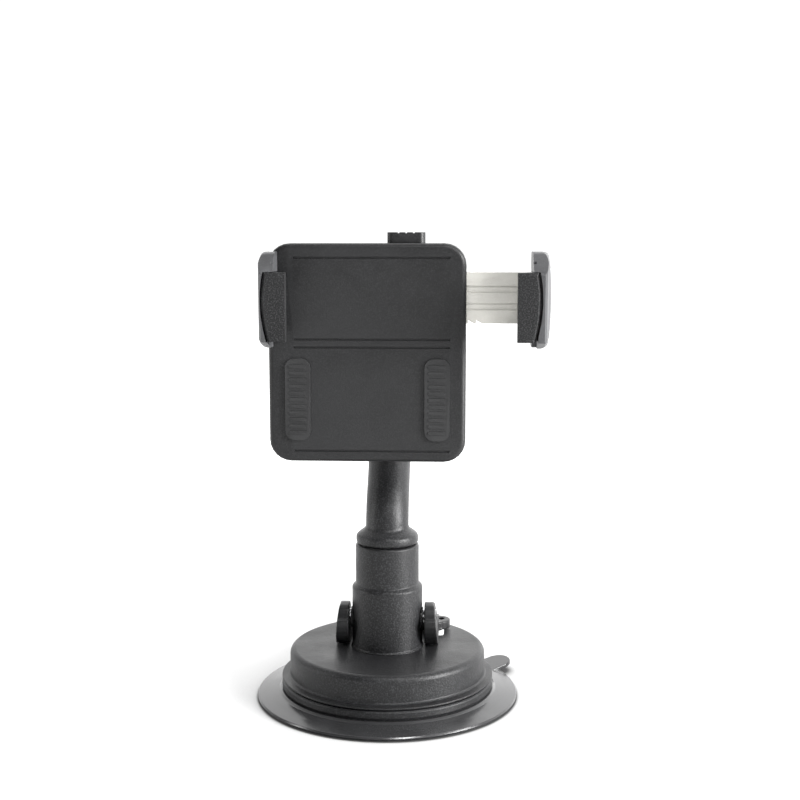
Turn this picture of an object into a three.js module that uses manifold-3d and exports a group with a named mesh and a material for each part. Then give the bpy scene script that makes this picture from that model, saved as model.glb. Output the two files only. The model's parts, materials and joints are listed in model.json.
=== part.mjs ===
// Car phone mount: a suction base with a cam lever, an upright neck, a bent swivel arm, a ball joint
// with a lock ring, and a cradle whose right jaw slides on a ratchet.
// Millimetres, +Z up. The origin is the centre of the gel face that sticks to the dashboard, and the
// phone's screen faces -Y.
import * as THREE from 'three';
import { mergeVertices } from 'three/addons/utils/BufferGeometryUtils.js';
import Module from 'manifold-3d';

const wasm = await Module();
wasm.setup();

// ---------------------------------------------------------------- driving dimensions
const GAP = 0.3;                 // running and assembly clearance between neighbours
const FINE = 48;                 // sides of the large round parts
const MEDIUM = 28;               // sides of the middle-sized round parts
const COARSE = 14;               // sides of screws, pins and holes

const GEL_RADIUS = 43.2;
const GEL_TOP = 0.6;
const CUP_RADIUS = 43.9;
const CUP_RIM_TOP = 1.4;
const CUP_TOP = 3.3;
const TAB_ANGLE = 33;            // degrees from +X toward the back
const TAB_TIP = 50;              // reach of the pull tab from the axis
const TAB_WIDTH = 10;

const RING_RADIUS = 35.6;
const RING_INNER = 23;
const RING_TOP = 6.5;
const FLANGE_TOP = 7.7;
const HOUSING_RADIUS = 32.9;
const HOUSING_TOP = 16.8;
const HOUSING_WALL = 2.2;
const HOUSING_EDGE = 1.8;        // radius of the housing's top edge
const NOTCH_HALF = 18.9;         // notch in the back of the housing, under the lever
const NOTCH_FLOOR = 9.5;
// half of the notch's front edge, which steps back round the neck
const NOTCH_EDGE = [[NOTCH_HALF, 10.4], [15.5, 10.4], [13.5, 16.5]];
const POCKET_WALL = 1.8;
const POCKET_FLOOR = 1;

const HUB_RADIUS = 11;
const HUB_TOP = 6.5;
const PLATE_RADIUS = 13;
const PLATE_TOP = 8.1;
const STEM_RADIUS = 4.2;
const STEM_TOP = 32;
const STEM_DROP = 2.2;           // travel of the stem between locked and released

const NECK_RADIUS = 11.8;
const NECK_UPPER_RADIUS = 10.6;
const NECK_SHOULDER = 37.5;
const NECK_TOP = 52;
const NECK_BORE = 5;
const NECK_PAD = 12.1;           // half width over the pads round the pin's slots
const NECK_WEB_BOTTOM = 38;
const NECK_WEB_TOP = 40;
const SPIGOT_RADIUS = 7;

const PIN_Z = 27.4;
const PIN_RADIUS = 1.9;
const PIN_HALF = 16.4;
const LEVER_OPEN = 60;           // degrees from locked to released
const EAR_INNER = 12.6;
const EAR_OUTER = 16.6;
// the ear's front above the cam: a ridge, a small ledge and the rounded top, as [y, z]
const EAR_FRONT = [
  [-6.6, 22.9], [-6.8, 24.8], [-6.65, 26.7], [-5.9, 27.2], [-5.5, 28.6], [-4.6, 30.2], [-2.9, 31.3],
  [-0.9, 31.7], [1.3, 31.5], [3, 30.5], [4.1, 28.9],
];
const CAM_CLEARANCE = 0.15;
const YOKE = { front: 13.5, back: 22.5, bottom: 17.8, top: 20.4, right: 18.6 };
const LUG = { x: 17, y: 18.4, radius: 4 };
const LUG_HOLE = { x: 17.7, y: 18.8, radius: 1.2 };
const TAIL_HALF = 17;            // half width of the tail that lies over the notch
const TAIL_END = 43;

const ARM_RADIUS = 7.2;
const ARM_OFFSET = 17;           // how far the arm's top stands behind the neck
const BALL = { y: -1, z: 117.5, radius: 7.5 };
const LINER_INNER = BALL.radius + GAP;
const LINER_OUTER = 9.3;
const SOCKET_SPHERE = LINER_OUTER + GAP;
const SOCKET_RADIUS = 12;
const LOCK_RING_RADIUS = 15.5;
const HEAD_LENGTH = 14.8;        // depth of the arm's head along the stud

const BODY = { left: -36.3, right: 26, bottom: 83, top: 152, corner: 7 };
const FRONT_FACE = -20;
const FRONT_SEAM = -13.8;
const BACK_SEAM = -13.5;
const BACK_FACE = -6;
const SHELL = 2;                 // shell thickness

const PHONE = { left: -32.8, right: 46, front: -30.2, back: -21 };
const JAW = { bottom: 119.8, top: 149.4, lipBottom: 122.2, lipTop: 143.2, front: -33.6, back: -12.5 };
const JAW_OUTER = 6;             // from the phone's side to the widest point of the jaw
const JAW_BULGE = { back: 0.9, front: 1.9 };  // how far a jaw's curved outer side bows out
const JAW_CORNER = 2.4;          // radius of a jaw's two outer corners
const LIP_REACH = { left: 3.8, right: 4.6 };  // how far the lips come in over the phone
const FACING_OUTER = 2.2;        // from the phone's side to the outer edge of the soft lip
const FACING_WALL = 1.4;         // thickness of the facing along the phone's side
const ARM_INNER = 3;             // from the phone's side to the plastic arm beside the lip
const RAIL = { front: -17.6, back: -15.6, bottom: 127, top: 143 };
const RAIL_LEFT = -10;
const TONGUE_END = -30;
const TOOTH_PITCH = 2.5;
const TOOTH_DEPTH = 1.1;
const BUTTON_X = 7;

// ---------------------------------------------------------------- materials
function makeMaterial(color, roughness, metalness) {
  return new THREE.MeshStandardMaterial({ color, roughness, metalness });
}
const look = {
  shell: () => makeMaterial(0x34353a, 0.55, 0),
  gloss: () => makeMaterial(0x3c3d42, 0.35, 0),
  rubber: () => makeMaterial(0x222326, 0.8, 0),
  gel: () => makeMaterial(0x4a4c50, 0.25, 0),
  nylon: () => makeMaterial(0xcfcdc6, 0.5, 0),
  steel: () => makeMaterial(0xb9bcc0, 0.3, 1),
};

// ---------------------------------------------------------------- solids and booleans
function signedVolume(positions, index) {
  const a = new THREE.Vector3();
  const b = new THREE.Vector3();
  const c = new THREE.Vector3();
  let total = 0;
  for (let i = 0; i < index.length; i += 3) {
    a.fromArray(positions, index[i] * 3);
    b.fromArray(positions, index[i + 1] * 3);
    c.fromArray(positions, index[i + 2] * 3);
    total += a.dot(b.cross(c));
  }
  return total;
}

function solid(geometry) {
  geometry.deleteAttribute('normal');
  geometry.deleteAttribute('uv');
  const merged = mergeVertices(geometry, 1e-4);
  const positions = Float32Array.from(merged.attributes.position.array);
  const triangles = [];
  const index = merged.index.array;
  const inward = signedVolume(positions, index) < 0;
  for (let i = 0; i < index.length; i += 3) {
    const [a, b, c] = [index[i], index[i + 1], index[i + 2]];
    if (a !== b && b !== c && c !== a) {
      triangles.push(a, inward ? c : b, inward ? b : c);
    }
  }
  const triVerts = Uint32Array.from(triangles);
  return new wasm.Manifold(new wasm.Mesh({ numProp: 3, vertProperties: positions, triVerts }));
}

function union(parts) {
  return parts.reduce((whole, part) => whole.add(part));
}

function cut(whole, tools) {
  return tools.reduce((rest, tool) => rest.subtract(tool), whole);
}

function box(x0, x1, y0, y1, z0, z1) {
  const geometry = new THREE.BoxGeometry(x1 - x0, y1 - y0, z1 - z0);
  geometry.translate((x0 + x1) / 2, (y0 + y1) / 2, (z0 + z1) / 2);
  return solid(geometry);
}

// A round bar along one axis between two stations; u and v are its place on the other two axes.
function bar(axis, radius, from, to, u, v, sides = COARSE) {
  const geometry = new THREE.CylinderGeometry(radius, radius, to - from, sides);
  const middle = (from + to) / 2;
  if (axis === 'x') {
    geometry.rotateZ(Math.PI / 2).translate(middle, u, v);
  } else if (axis === 'y') {
    geometry.translate(u, middle, v);
  } else {
    geometry.rotateX(Math.PI / 2).translate(u, v, middle);
  }
  return solid(geometry);
}

// Turns a profile of [radius, height] points about the Z axis.
function turnedZ(profile, sides = FINE) {
  const points = profile.map(([r, z]) => new THREE.Vector2(r, z));
  return solid(new THREE.LatheGeometry(points, sides).rotateX(Math.PI / 2));
}

// Turns a profile of [radius, y] points about the ball's own Y axis; y counts from the ball's centre.
function turnedY(profile, sides = MEDIUM) {
  const points = profile.map(([r, y]) => new THREE.Vector2(r, y));
  return solid(new THREE.LatheGeometry(points, sides).translate(0, BALL.y, BALL.z));
}

function arc(radius, fromDegrees, toDegrees, steps) {
  const points = [];
  for (let i = 0; i <= steps; i += 1) {
    const angle = THREE.MathUtils.degToRad(fromDegrees + ((toDegrees - fromDegrees) * i) / steps);
    points.push([radius * Math.sin(angle), radius * Math.cos(angle)]);
  }
  return points;
}

// Extrudes an outline in the XZ plane between two Y stations.
function plateXZ(points, y0, y1) {
  const shape = new THREE.Shape(points.map(([x, z]) => new THREE.Vector2(x, z)));
  const geometry = new THREE.ExtrudeGeometry(shape, { depth: y1 - y0, bevelEnabled: false });
  return solid(geometry.rotateX(Math.PI / 2).translate(0, y1, 0));
}

// Extrudes an outline in the YZ plane between two X stations.
function plateYZ(points, x0, x1) {
  const shape = new THREE.Shape(points.map(([y, z]) => new THREE.Vector2(y, z)));
  const geometry = new THREE.ExtrudeGeometry(shape, { depth: x1 - x0, bevelEnabled: false });
  const turn = new THREE.Matrix4().set(0, 0, 1, x0, 1, 0, 0, 0, 0, 1, 0, 0, 0, 0, 0, 1);
  return solid(geometry.applyMatrix4(turn));
}

// Extrudes an outline in the XY plane between two Z stations.
function plateXY(points, z0, z1) {
  const shape = new THREE.Shape(points.map(([x, y]) => new THREE.Vector2(x, y)));
  const geometry = new THREE.ExtrudeGeometry(shape, { depth: z1 - z0, bevelEnabled: false });
  return solid(geometry.translate(0, 0, z0));
}

function roundedRectangle(left, right, bottom, top, radius, steps = 6) {
  const corners = [
    [right - radius, top - radius, 0],
    [left + radius, top - radius, 90],
    [left + radius, bottom + radius, 180],
    [right - radius, bottom + radius, 270],
  ];
  return corners.flatMap(([x, y, start]) => {
    const points = [];
    for (let i = 0; i <= steps; i += 1) {
      const angle = THREE.MathUtils.degToRad(start + (90 * i) / steps);
      points.push([x + radius * Math.cos(angle), y + radius * Math.sin(angle)]);
    }
    return points;
  });
}

function mesh(name, material, whole) {
  const { vertProperties, triVerts } = whole.getMesh();
  const geometry = new THREE.BufferGeometry();
  geometry.setAttribute('position', new THREE.BufferAttribute(Float32Array.from(vertProperties), 3));
  geometry.setIndex(new THREE.BufferAttribute(Uint32Array.from(triVerts), 1));
  geometry.computeVertexNormals();
  const result = new THREE.Mesh(geometry, material);
  result.name = name;
  return result;
}

// A pan-head screw along an axis: the head spans headFrom..headTo and the shank reaches tip.
function screw(axis, u, v, headFrom, headTo, tip, shank = 1.2, head = 2.1) {
  const [low, high] = [Math.min(headFrom, headTo), Math.max(headFrom, headTo)];
  const shankFrom = Math.min(tip, low + 0.2);
  const shankTo = Math.max(tip, high - 0.2);
  return bar(axis, head, low, high, u, v).add(bar(axis, shank, shankFrom, shankTo, u, v, 8));
}

// A compression spring along Z: a helix of round wire with flat-lying ends inside its own length.
function coilSpring(x, y, z0, z1, radius, wire, turns) {
  class Helix extends THREE.Curve {
    getPoint(t, target = new THREE.Vector3()) {
      const angle = t * turns * 2 * Math.PI;
      const height = z0 + wire + t * (z1 - z0 - 2 * wire);
      return target.set(x + radius * Math.cos(angle), y + radius * Math.sin(angle), height);
    }
  }
  const section = new THREE.Shape();
  section.absarc(0, 0, wire, 0, 2 * Math.PI, false);
  const geometry = new THREE.ExtrudeGeometry(section, {
    steps: turns * 10, curveSegments: 3, bevelEnabled: false, extrudePath: new Helix(),
  });
  return solid(geometry);
}

// ---------------------------------------------------------------- suction base
function gelPad() {
  return turnedZ([[0, 0], [GEL_RADIUS - 0.3, 0], [GEL_RADIUS, GEL_TOP], [0, GEL_TOP]]);
}

function suctionCup() {
  const disc = turnedZ([
    [0, GEL_TOP], [CUP_RADIUS - 0.4, GEL_TOP], [CUP_RADIUS, 0.9], [CUP_RADIUS - 0.2, CUP_RIM_TOP],
    [39.5, 2.2], [RING_RADIUS + 0.3, CUP_TOP], [0, CUP_TOP],
  ]);
  const half = TAB_WIDTH / 2;
  const outline = [[39, -half]];
  for (let degrees = -80; degrees <= 80; degrees += 20) {
    const angle = THREE.MathUtils.degToRad(degrees);
    outline.push([TAB_TIP - half + half * Math.cos(angle), half * Math.sin(angle)]);
  }
  outline.push([39, half]);
  const shape = new THREE.Shape(outline.map(([x, y]) => new THREE.Vector2(x, y)));
  const tongue = new THREE.ExtrudeGeometry(shape, { depth: 1.3, bevelEnabled: false });
  tongue.translate(-39, 0, 0).rotateY(THREE.MathUtils.degToRad(-11)).translate(39, 0, 0.8);
  tongue.rotateZ(THREE.MathUtils.degToRad(TAB_ANGLE));
  return disc.add(solid(tongue));
}

function cupHub() {
  return turnedZ([
    [0, CUP_TOP], [HUB_RADIUS, CUP_TOP], [HUB_RADIUS - 1.4, (CUP_TOP + HUB_TOP) / 2],
    [HUB_RADIUS, HUB_TOP], [0, HUB_TOP],
  ], MEDIUM);
}

function pullStem() {
  const body = turnedZ([
    [0, HUB_TOP], [PLATE_RADIUS, HUB_TOP], [PLATE_RADIUS, PLATE_TOP], [STEM_RADIUS, PLATE_TOP],
    [STEM_RADIUS, STEM_TOP - 0.8], [STEM_RADIUS - 0.8, STEM_TOP], [0, STEM_TOP],
  ], MEDIUM);
  return body.subtract(bar('x', PIN_RADIUS + GAP, -6, 6, 0, PIN_Z));
}

const RING_SCREWS = [-90, 30, 150];
const RING_SCREW_CIRCLE = 27.5;
const NECK_SCREWS = [90, 210, 330];
const NECK_SCREW_CIRCLE = 8.8;

function onCircle(radius, degrees) {
  const angle = THREE.MathUtils.degToRad(degrees);
  return [radius * Math.cos(angle), radius * Math.sin(angle)];
}

function baseRing() {
  const ring = turnedZ([
    [RING_INNER, CUP_TOP], [RING_RADIUS - 0.3, CUP_TOP], [RING_RADIUS, CUP_TOP + 0.4],
    [RING_RADIUS, RING_TOP - 0.4], [RING_RADIUS - 0.4, RING_TOP], [RING_INNER, RING_TOP],
    [RING_INNER, CUP_TOP],
  ]);
  return cut(ring, RING_SCREWS.flatMap((degrees) => {
    const [x, y] = onCircle(RING_SCREW_CIRCLE, degrees);
    return [bar('z', 2.4, 3, 5.3, x, y), bar('z', 1.5, 3, 8, x, y, 8)];
  }));
}

// The notch's plan, grown sideways and toward the front by `grown`.
function notchPlan(grown) {
  const right = NOTCH_EDGE.map(([x, y], i) => [x + (i === 0 ? grown : -grown / 2), y - grown]);
  const left = right.map(([x, y]) => [-x, y]).reverse();
  return [[NOTCH_HALF + grown, 45], ...right, ...left, [-NOTCH_HALF - grown, 45]];
}

function baseHousing() {
  const r = HOUSING_RADIUS;
  const edge = arc(HOUSING_EDGE, 0, 90, 5).map(([dx, dz]) => [
    r - HOUSING_EDGE + dx, HOUSING_TOP - HOUSING_EDGE + dz,
  ]);
  const outer = turnedZ([
    [0, RING_TOP + GAP], [RING_RADIUS, RING_TOP + GAP], [RING_RADIUS, FLANGE_TOP - 0.3],
    [RING_RADIUS - 0.3, FLANGE_TOP], [r, FLANGE_TOP], ...edge.reverse(), [0, HOUSING_TOP],
  ]);
  const inside = turnedZ([
    [0, 0], [r - HOUSING_WALL, 0], [r - HOUSING_WALL, HOUSING_TOP - HOUSING_WALL - 1],
    [r - HOUSING_WALL - 1, HOUSING_TOP - HOUSING_WALL], [0, HOUSING_TOP - HOUSING_WALL],
  ]);
  const pocketWall = plateXY(
    notchPlan(POCKET_WALL), NOTCH_FLOOR - POCKET_FLOOR, HOUSING_TOP,
  ).intersect(outer);
  const bosses = RING_SCREWS.map((degrees) => {
    const [x, y] = onCircle(RING_SCREW_CIRCLE, degrees);
    return bar('z', 3, RING_TOP + GAP, HOUSING_TOP - 1, x, y);
  });
  const shell = union([outer.subtract(inside), pocketWall, ...bosses]);
  const pilots = RING_SCREWS.map((degrees) => {
    const [x, y] = onCircle(RING_SCREW_CIRCLE, degrees);
    return bar('z', 1.5, 5, 13.6, x, y, 8);
  });
  const neckHoles = NECK_SCREWS.map((degrees) => {
    const [x, y] = onCircle(NECK_SCREW_CIRCLE, degrees);
    return bar('z', 1.5, 12, 20, x, y, 8);
  });
  const notch = plateXY(notchPlan(0), NOTCH_FLOOR, HOUSING_TOP + 1);
  return cut(shell, [notch, bar('z', NECK_BORE, 10, 20, 0, 0, MEDIUM), ...pilots, ...neckHoles]);
}

function neckPost() {
  const post = turnedZ([
    [0, HOUSING_TOP], [NECK_RADIUS, HOUSING_TOP], [NECK_RADIUS, NECK_SHOULDER],
    [NECK_RADIUS - 0.5, NECK_SHOULDER + 0.9], [NECK_UPPER_RADIUS, NECK_SHOULDER + 1.4],
    [NECK_UPPER_RADIUS, NECK_TOP - 0.6], [NECK_UPPER_RADIUS - 0.6, NECK_TOP], [0, NECK_TOP],
  ], FINE);
  const slot = plateYZ(
    roundedRectangle(-2.3, 2.3, PIN_Z - STEM_DROP - 2.4, PIN_Z + 2.4, 2.2), -14, 14,
  );
  const pads = bar('x', 3.6, -NECK_PAD, NECK_PAD, 0, PIN_Z - STEM_DROP / 2, MEDIUM);
  const holes = NECK_SCREWS.map((degrees) => {
    const [x, y] = onCircle(NECK_SCREW_CIRCLE, degrees);
    return bar('z', 1.5, HOUSING_TOP - 1, 24, x, y, 8);
  });
  return cut(union([post, pads]), [
    bar('z', NECK_BORE, HOUSING_TOP - 1, NECK_WEB_BOTTOM, 0, 0, MEDIUM),
    bar('z', SPIGOT_RADIUS + GAP, NECK_WEB_TOP, NECK_TOP + 1, 0, 0, MEDIUM),
    bar('z', 2.3, NECK_WEB_BOTTOM - 1, NECK_WEB_TOP + 1, 0, 0),
    slot, ...holes,
  ]);
}

// ---------------------------------------------------------------- suction lever
// The ear's lower front is a spiral cam: its reach below the pin falls evenly as the lever turns, so
// the pin sinks by STEM_DROP while the ear stays on the housing's deck.
function earOutline() {
  const reach = PIN_Z - HOUSING_TOP - CAM_CLEARANCE;
  const slope = -STEM_DROP / THREE.MathUtils.degToRad(LEVER_OPEN);
  const points = [];
  for (let degrees = 0; degrees <= LEVER_OPEN; degrees += 7.5) {
    const a = THREE.MathUtils.degToRad(degrees);
    const h = reach + slope * a;
    points.push([-h * Math.sin(a) - slope * Math.cos(a), PIN_Z - h * Math.cos(a) + slope * Math.sin(a)]);
  }
  const arm = [[7.5, PIN_Z - 0.6], [11, 22], [YOKE.back, YOKE.top], [YOKE.back, YOKE.bottom], [7, 17.4]];
  return [...points, ...EAR_FRONT, ...arm];
}

function suctionLever() {
  const ears = [[EAR_INNER, EAR_OUTER], [-EAR_OUTER, -EAR_INNER]].map(
    ([x0, x1]) => plateYZ(earOutline(), x0, x1),
  );
  const yoke = plateXY(
    roundedRectangle(-EAR_OUTER, YOKE.right, YOKE.front, YOKE.back, 1.5), YOKE.bottom, YOKE.top,
  );
  const lug = bar('z', LUG.radius, YOKE.bottom, YOKE.top, LUG.x, LUG.y, MEDIUM);
  const tail = plateYZ([
    [18, YOKE.bottom], [25, 17.2], [32, 13.4], [TAIL_END, 11.2], [TAIL_END + 0.6, 12.6], [TAIL_END, 14],
    [33, 16.4], [26, 19.8], [18, YOKE.top],
  ], -TAIL_HALF, TAIL_HALF);
  const tailPlan = plateXY(roundedRectangle(-TAIL_HALF, TAIL_HALF, 10, TAIL_END + 0.6, 7), 5, 30);
  const lever = union([...ears, yoke, lug, tail.intersect(tailPlan)]);
  return cut(lever, [
    bar('x', PIN_RADIUS + GAP, -20, 20, 0, PIN_Z),
    bar('z', LUG_HOLE.radius, 15, 23, LUG_HOLE.x, LUG_HOLE.y),
  ]);
}

// ---------------------------------------------------------------- swivel arm
function supportArm() {
  const foot = turnedZ([
    [0, NECK_WEB_TOP + GAP], [SPIGOT_RADIUS, NECK_WEB_TOP + GAP], [SPIGOT_RADIUS, NECK_TOP + GAP],
    [NECK_UPPER_RADIUS - 0.2, NECK_TOP + GAP], [NECK_UPPER_RADIUS - 0.2, NECK_TOP + 3.2],
    [ARM_RADIUS + 0.8, NECK_TOP + 5], [0, NECK_TOP + 5],
  ], MEDIUM);
  const section = new THREE.Shape();
  section.absarc(0, 0, ARM_RADIUS, 0, 2 * Math.PI, false);
  const path = new THREE.CurvePath();
  const bendStart = new THREE.Vector3(0, 0, NECK_TOP + 5.2);
  const bendEnd = new THREE.Vector3(0, ARM_OFFSET, 90);
  path.add(new THREE.LineCurve3(new THREE.Vector3(0, 0, NECK_TOP + 2), bendStart));
  path.add(new THREE.CubicBezierCurve3(
    bendStart, new THREE.Vector3(0, 0, 69), new THREE.Vector3(0, ARM_OFFSET, 73), bendEnd,
  ));
  path.add(new THREE.LineCurve3(bendEnd, new THREE.Vector3(0, ARM_OFFSET, BALL.z)));
  const tube = solid(new THREE.ExtrudeGeometry(section, {
    steps: 18, curveSegments: 8, bevelEnabled: false, extrudePath: path,
  }));
  const front = ARM_OFFSET - ARM_RADIUS;
  const headFront = front - BALL.y;
  const head = turnedY([
    [0, headFront], [7.6, headFront], [8.8, headFront + 1.2], [8.8, headFront + HEAD_LENGTH - 1.4],
    [7.6, headFront + HEAD_LENGTH], [0, headFront + HEAD_LENGTH],
  ]);
  return cut(union([foot, tube, head]), [
    bar('z', 2.3, NECK_WEB_TOP - 1, 49, 0, 0),
    bar('y', 2.8, 0, 40, 0, BALL.z),
  ]);
}

const ARM_FRONT = ARM_OFFSET - ARM_RADIUS;
const ARM_BACK = ARM_FRONT + HEAD_LENGTH;

function ballStud() {
  const collar = ARM_FRONT - BALL.y;
  return turnedY([
    ...arc(BALL.radius, 180, 28, 10), [3.5, collar - 1.8], [5, collar - 1.6], [5, collar],
    [2.5, collar], [2.5, ARM_BACK - BALL.y + 5], [0, ARM_BACK - BALL.y + 5],
  ], MEDIUM);
}

function studNut() {
  const points = [];
  for (let i = 0; i < 6; i += 1) {
    const [x, z] = onCircle(5.2, 60 * i);
    points.push([x, BALL.z + z]);
  }
  return plateXZ(points, ARM_BACK, ARM_BACK + 3.8).subtract(bar('y', 2.8, 20, 40, 0, BALL.z));
}

// ---------------------------------------------------------------- ball joint
function ballLiner() {
  const inner = arc(LINER_INNER, 45, 150, 7);
  return turnedY([...inner, ...arc(LINER_OUTER, 150, 45, 7), inner[0]]);
}

const FLANGE_RADIUS = 16.5;
const FLANGE = { front: -10.3, back: -8.3 };

function ballSocket() {
  const y = (station) => station - BALL.y;
  return turnedY([
    [0, y(-12)], [SOCKET_RADIUS - 1, y(-12)], [SOCKET_RADIUS, y(-11)],
    [SOCKET_RADIUS, y(FLANGE.front)], [FLANGE_RADIUS, y(FLANGE.front)],
    [FLANGE_RADIUS, y(FLANGE.back)], [SOCKET_RADIUS, y(FLANGE.back)], [SOCKET_RADIUS, 1],
    [SOCKET_SPHERE + 0.1, 1], ...arc(SOCKET_SPHERE, 90, 180, 7),
  ]);
}

function lockRing() {
  const lip = arc(SOCKET_SPHERE, 80, 52, 5);
  const r = LOCK_RING_RADIUS;
  const ring = turnedY([
    [SOCKET_RADIUS + GAP, -4.5], [r - 0.8, -4.5], [r, -3.7], [r, 3.2], [11.5, 6.2],
    [lip[5][0], 6.2], ...[...lip].reverse(), [lip[0][0], 1.3], [SOCKET_RADIUS + GAP, 1.3],
    [SOCKET_RADIUS + GAP, -4.5],
  ], 48);
  const flutes = [];
  for (let degrees = 0; degrees < 360; degrees += 30) {
    const [x, z] = onCircle(r + 1.2, degrees);
    flutes.push(bar('y', 2.2, -10, 10, x, BALL.z + z, 8));
  }
  return cut(ring, flutes);
}

// ---------------------------------------------------------------- cradle
const SHELL_SCREWS = [[-30.5, 89], [20, 89], [-30.5, 146], [20, 146]];
const RETAINER_SCREWS = [30, 150, 270];
const RETAINER_CIRCLE = 19.5;
const RETAINER = { front: -12.4, back: -11 };

function bodyOutline(inset) {
  return roundedRectangle(
    BODY.left + inset, BODY.right - inset, BODY.bottom + inset, BODY.top - inset, BODY.corner - inset,
  );
}

function buttonOpening() {
  return box(BUTTON_X - 6.4, BUTTON_X + 6.4, -16.4, -10.2, BODY.top - 3, BODY.top + 3);
}

function cradleFrontShell() {
  const shell = cut(plateXZ(bodyOutline(0), FRONT_FACE, FRONT_SEAM), [
    plateXZ(bodyOutline(SHELL), FRONT_FACE + SHELL, FRONT_SEAM + 1),
  ]);
  const ribs = [
    box(-34.5, BODY.right - 1, FRONT_FACE + 1, -15.5, RAIL.top + GAP, RAIL.top + 1.8),
    box(-34.5, 0.5, FRONT_FACE + 1, -15.5, RAIL.bottom - 1.8, RAIL.bottom - GAP),
    box(13.5, BODY.right - 1, FRONT_FACE + 1, -15.5, RAIL.bottom - 1.8, RAIL.bottom - GAP),
    box(3.5, 10.5, FRONT_FACE + 1, -13.9, 113.6, 115),
  ];
  const posts = SHELL_SCREWS.map(([x, z]) => bar('y', 3, FRONT_FACE + 1, FRONT_SEAM, x, z));
  const openings = [
    box(BODY.right - 4, BODY.right + 1, RAIL.front - GAP, RAIL.back + GAP,
      RAIL.bottom - GAP, RAIL.top + GAP),
    box(BODY.left - 1, BODY.left + 4, RAIL.front - GAP, RAIL.back + GAP,
      RAIL.bottom - GAP, RAIL.top + GAP),
    buttonOpening(),
  ];
  const holes = SHELL_SCREWS.map(([x, z]) => bar('y', 1.5, FRONT_FACE + 1.2, 0, x, z, 8));
  const jawHoles = LEFT_JAW_SCREWS.map(([x, z]) => bar('y', 1.5, FRONT_FACE + 0.7, 0, x, z, 8));
  return cut(union([shell, ...ribs, ...posts]), [...openings, ...holes, ...jawHoles]);
}

function cradleBackShell() {
  const shell = cut(plateXZ(bodyOutline(0), BACK_SEAM, BACK_FACE), [
    plateXZ(bodyOutline(SHELL), BACK_SEAM - 1, BACK_FACE - SHELL),
  ]);
  const posts = SHELL_SCREWS.map(([x, z]) => bar('y', 3, BACK_SEAM, BACK_FACE - 1, x, z));
  const bosses = RETAINER_SCREWS.map((degrees) => {
    const [x, z] = onCircle(RETAINER_CIRCLE, degrees);
    return bar('y', 2.4, RETAINER.back, BACK_FACE - 1, x, BALL.z + z);
  });
  const holes = SHELL_SCREWS.flatMap(([x, z]) => [
    bar('y', 1.5, -20, 0, x, z, 8), bar('y', 2.4, BACK_FACE - 1.8, 0, x, z),
  ]);
  const pilots = RETAINER_SCREWS.map((degrees) => {
    const [x, z] = onCircle(RETAINER_CIRCLE, degrees);
    return bar('y', 1.2, -20, BACK_FACE - 1.2, x, BALL.z + z, 8);
  });
  return cut(union([shell, ...posts, ...bosses]), [
    bar('y', SOCKET_RADIUS + 0.4, -20, 0, 0, BALL.z, FINE), buttonOpening(), ...holes, ...pilots,
  ]);
}

function swivelRetainer() {
  const y = (station) => station - BALL.y;
  const plate = turnedY([
    [SOCKET_RADIUS + 0.6, y(RETAINER.front)], [22, y(RETAINER.front)], [22, y(RETAINER.back)],
    [SOCKET_RADIUS + 0.6, y(RETAINER.back)], [SOCKET_RADIUS + 0.6, y(RETAINER.front)],
  ]);
  return cut(plate, RETAINER_SCREWS.map((degrees) => {
    const [x, z] = onCircle(RETAINER_CIRCLE, degrees);
    return bar('y', 1.3, -20, 0, x, BALL.z + z, 8);
  }));
}

function frictionWasher() {
  const y = (station) => station - BALL.y;
  return turnedY([
    [12.6, y(-10.9)], [16, y(-10.9)], [16, y(-10.4)], [12.6, y(-10.4)], [12.6, y(-10.9)],
  ]);
}

function gripStrip(left, right) {
  return plateXZ(roundedRectangle(left, right, 90, 116, 3), PHONE.back, FRONT_FACE);
}

// ---------------------------------------------------------------- jaws
const JAW_CENTRE = (PHONE.left + PHONE.right) / 2;
const LEFT_JAW_SCREWS = [[-32.1, 130.5], [-32.1, 139.5]];
const RIGHT_JAW_SCREWS = [[49.2, 131], [49.2, 139]];

// The right jaw's front outline, from the lip's tip to an outer side that is `reach` from the phone
// and bows out by `bulge`; its two outer corners are rounded by `corner`.
function jawOutline(reach, bulge, corner) {
  const side = PHONE.right;
  const middle = (JAW.bottom + JAW.top) / 2;
  const half = (JAW.top - JAW.bottom) / 2;
  const steps = 20;
  const points = [[side - LIP_REACH.right, JAW.bottom]];
  for (let i = 0; i <= steps; i += 1) {
    const height = -half * Math.cos((Math.PI * i) / steps);
    const intoCorner = Math.max(0, Math.abs(height) - (half - corner));
    const inset = corner - Math.sqrt(Math.max(0, corner ** 2 - intoCorner ** 2));
    points.push([side + reach - bulge * (height / half) ** 2 - inset, middle + height]);
  }
  points.push([side - LIP_REACH.right, JAW.top]);
  return points;
}

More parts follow.
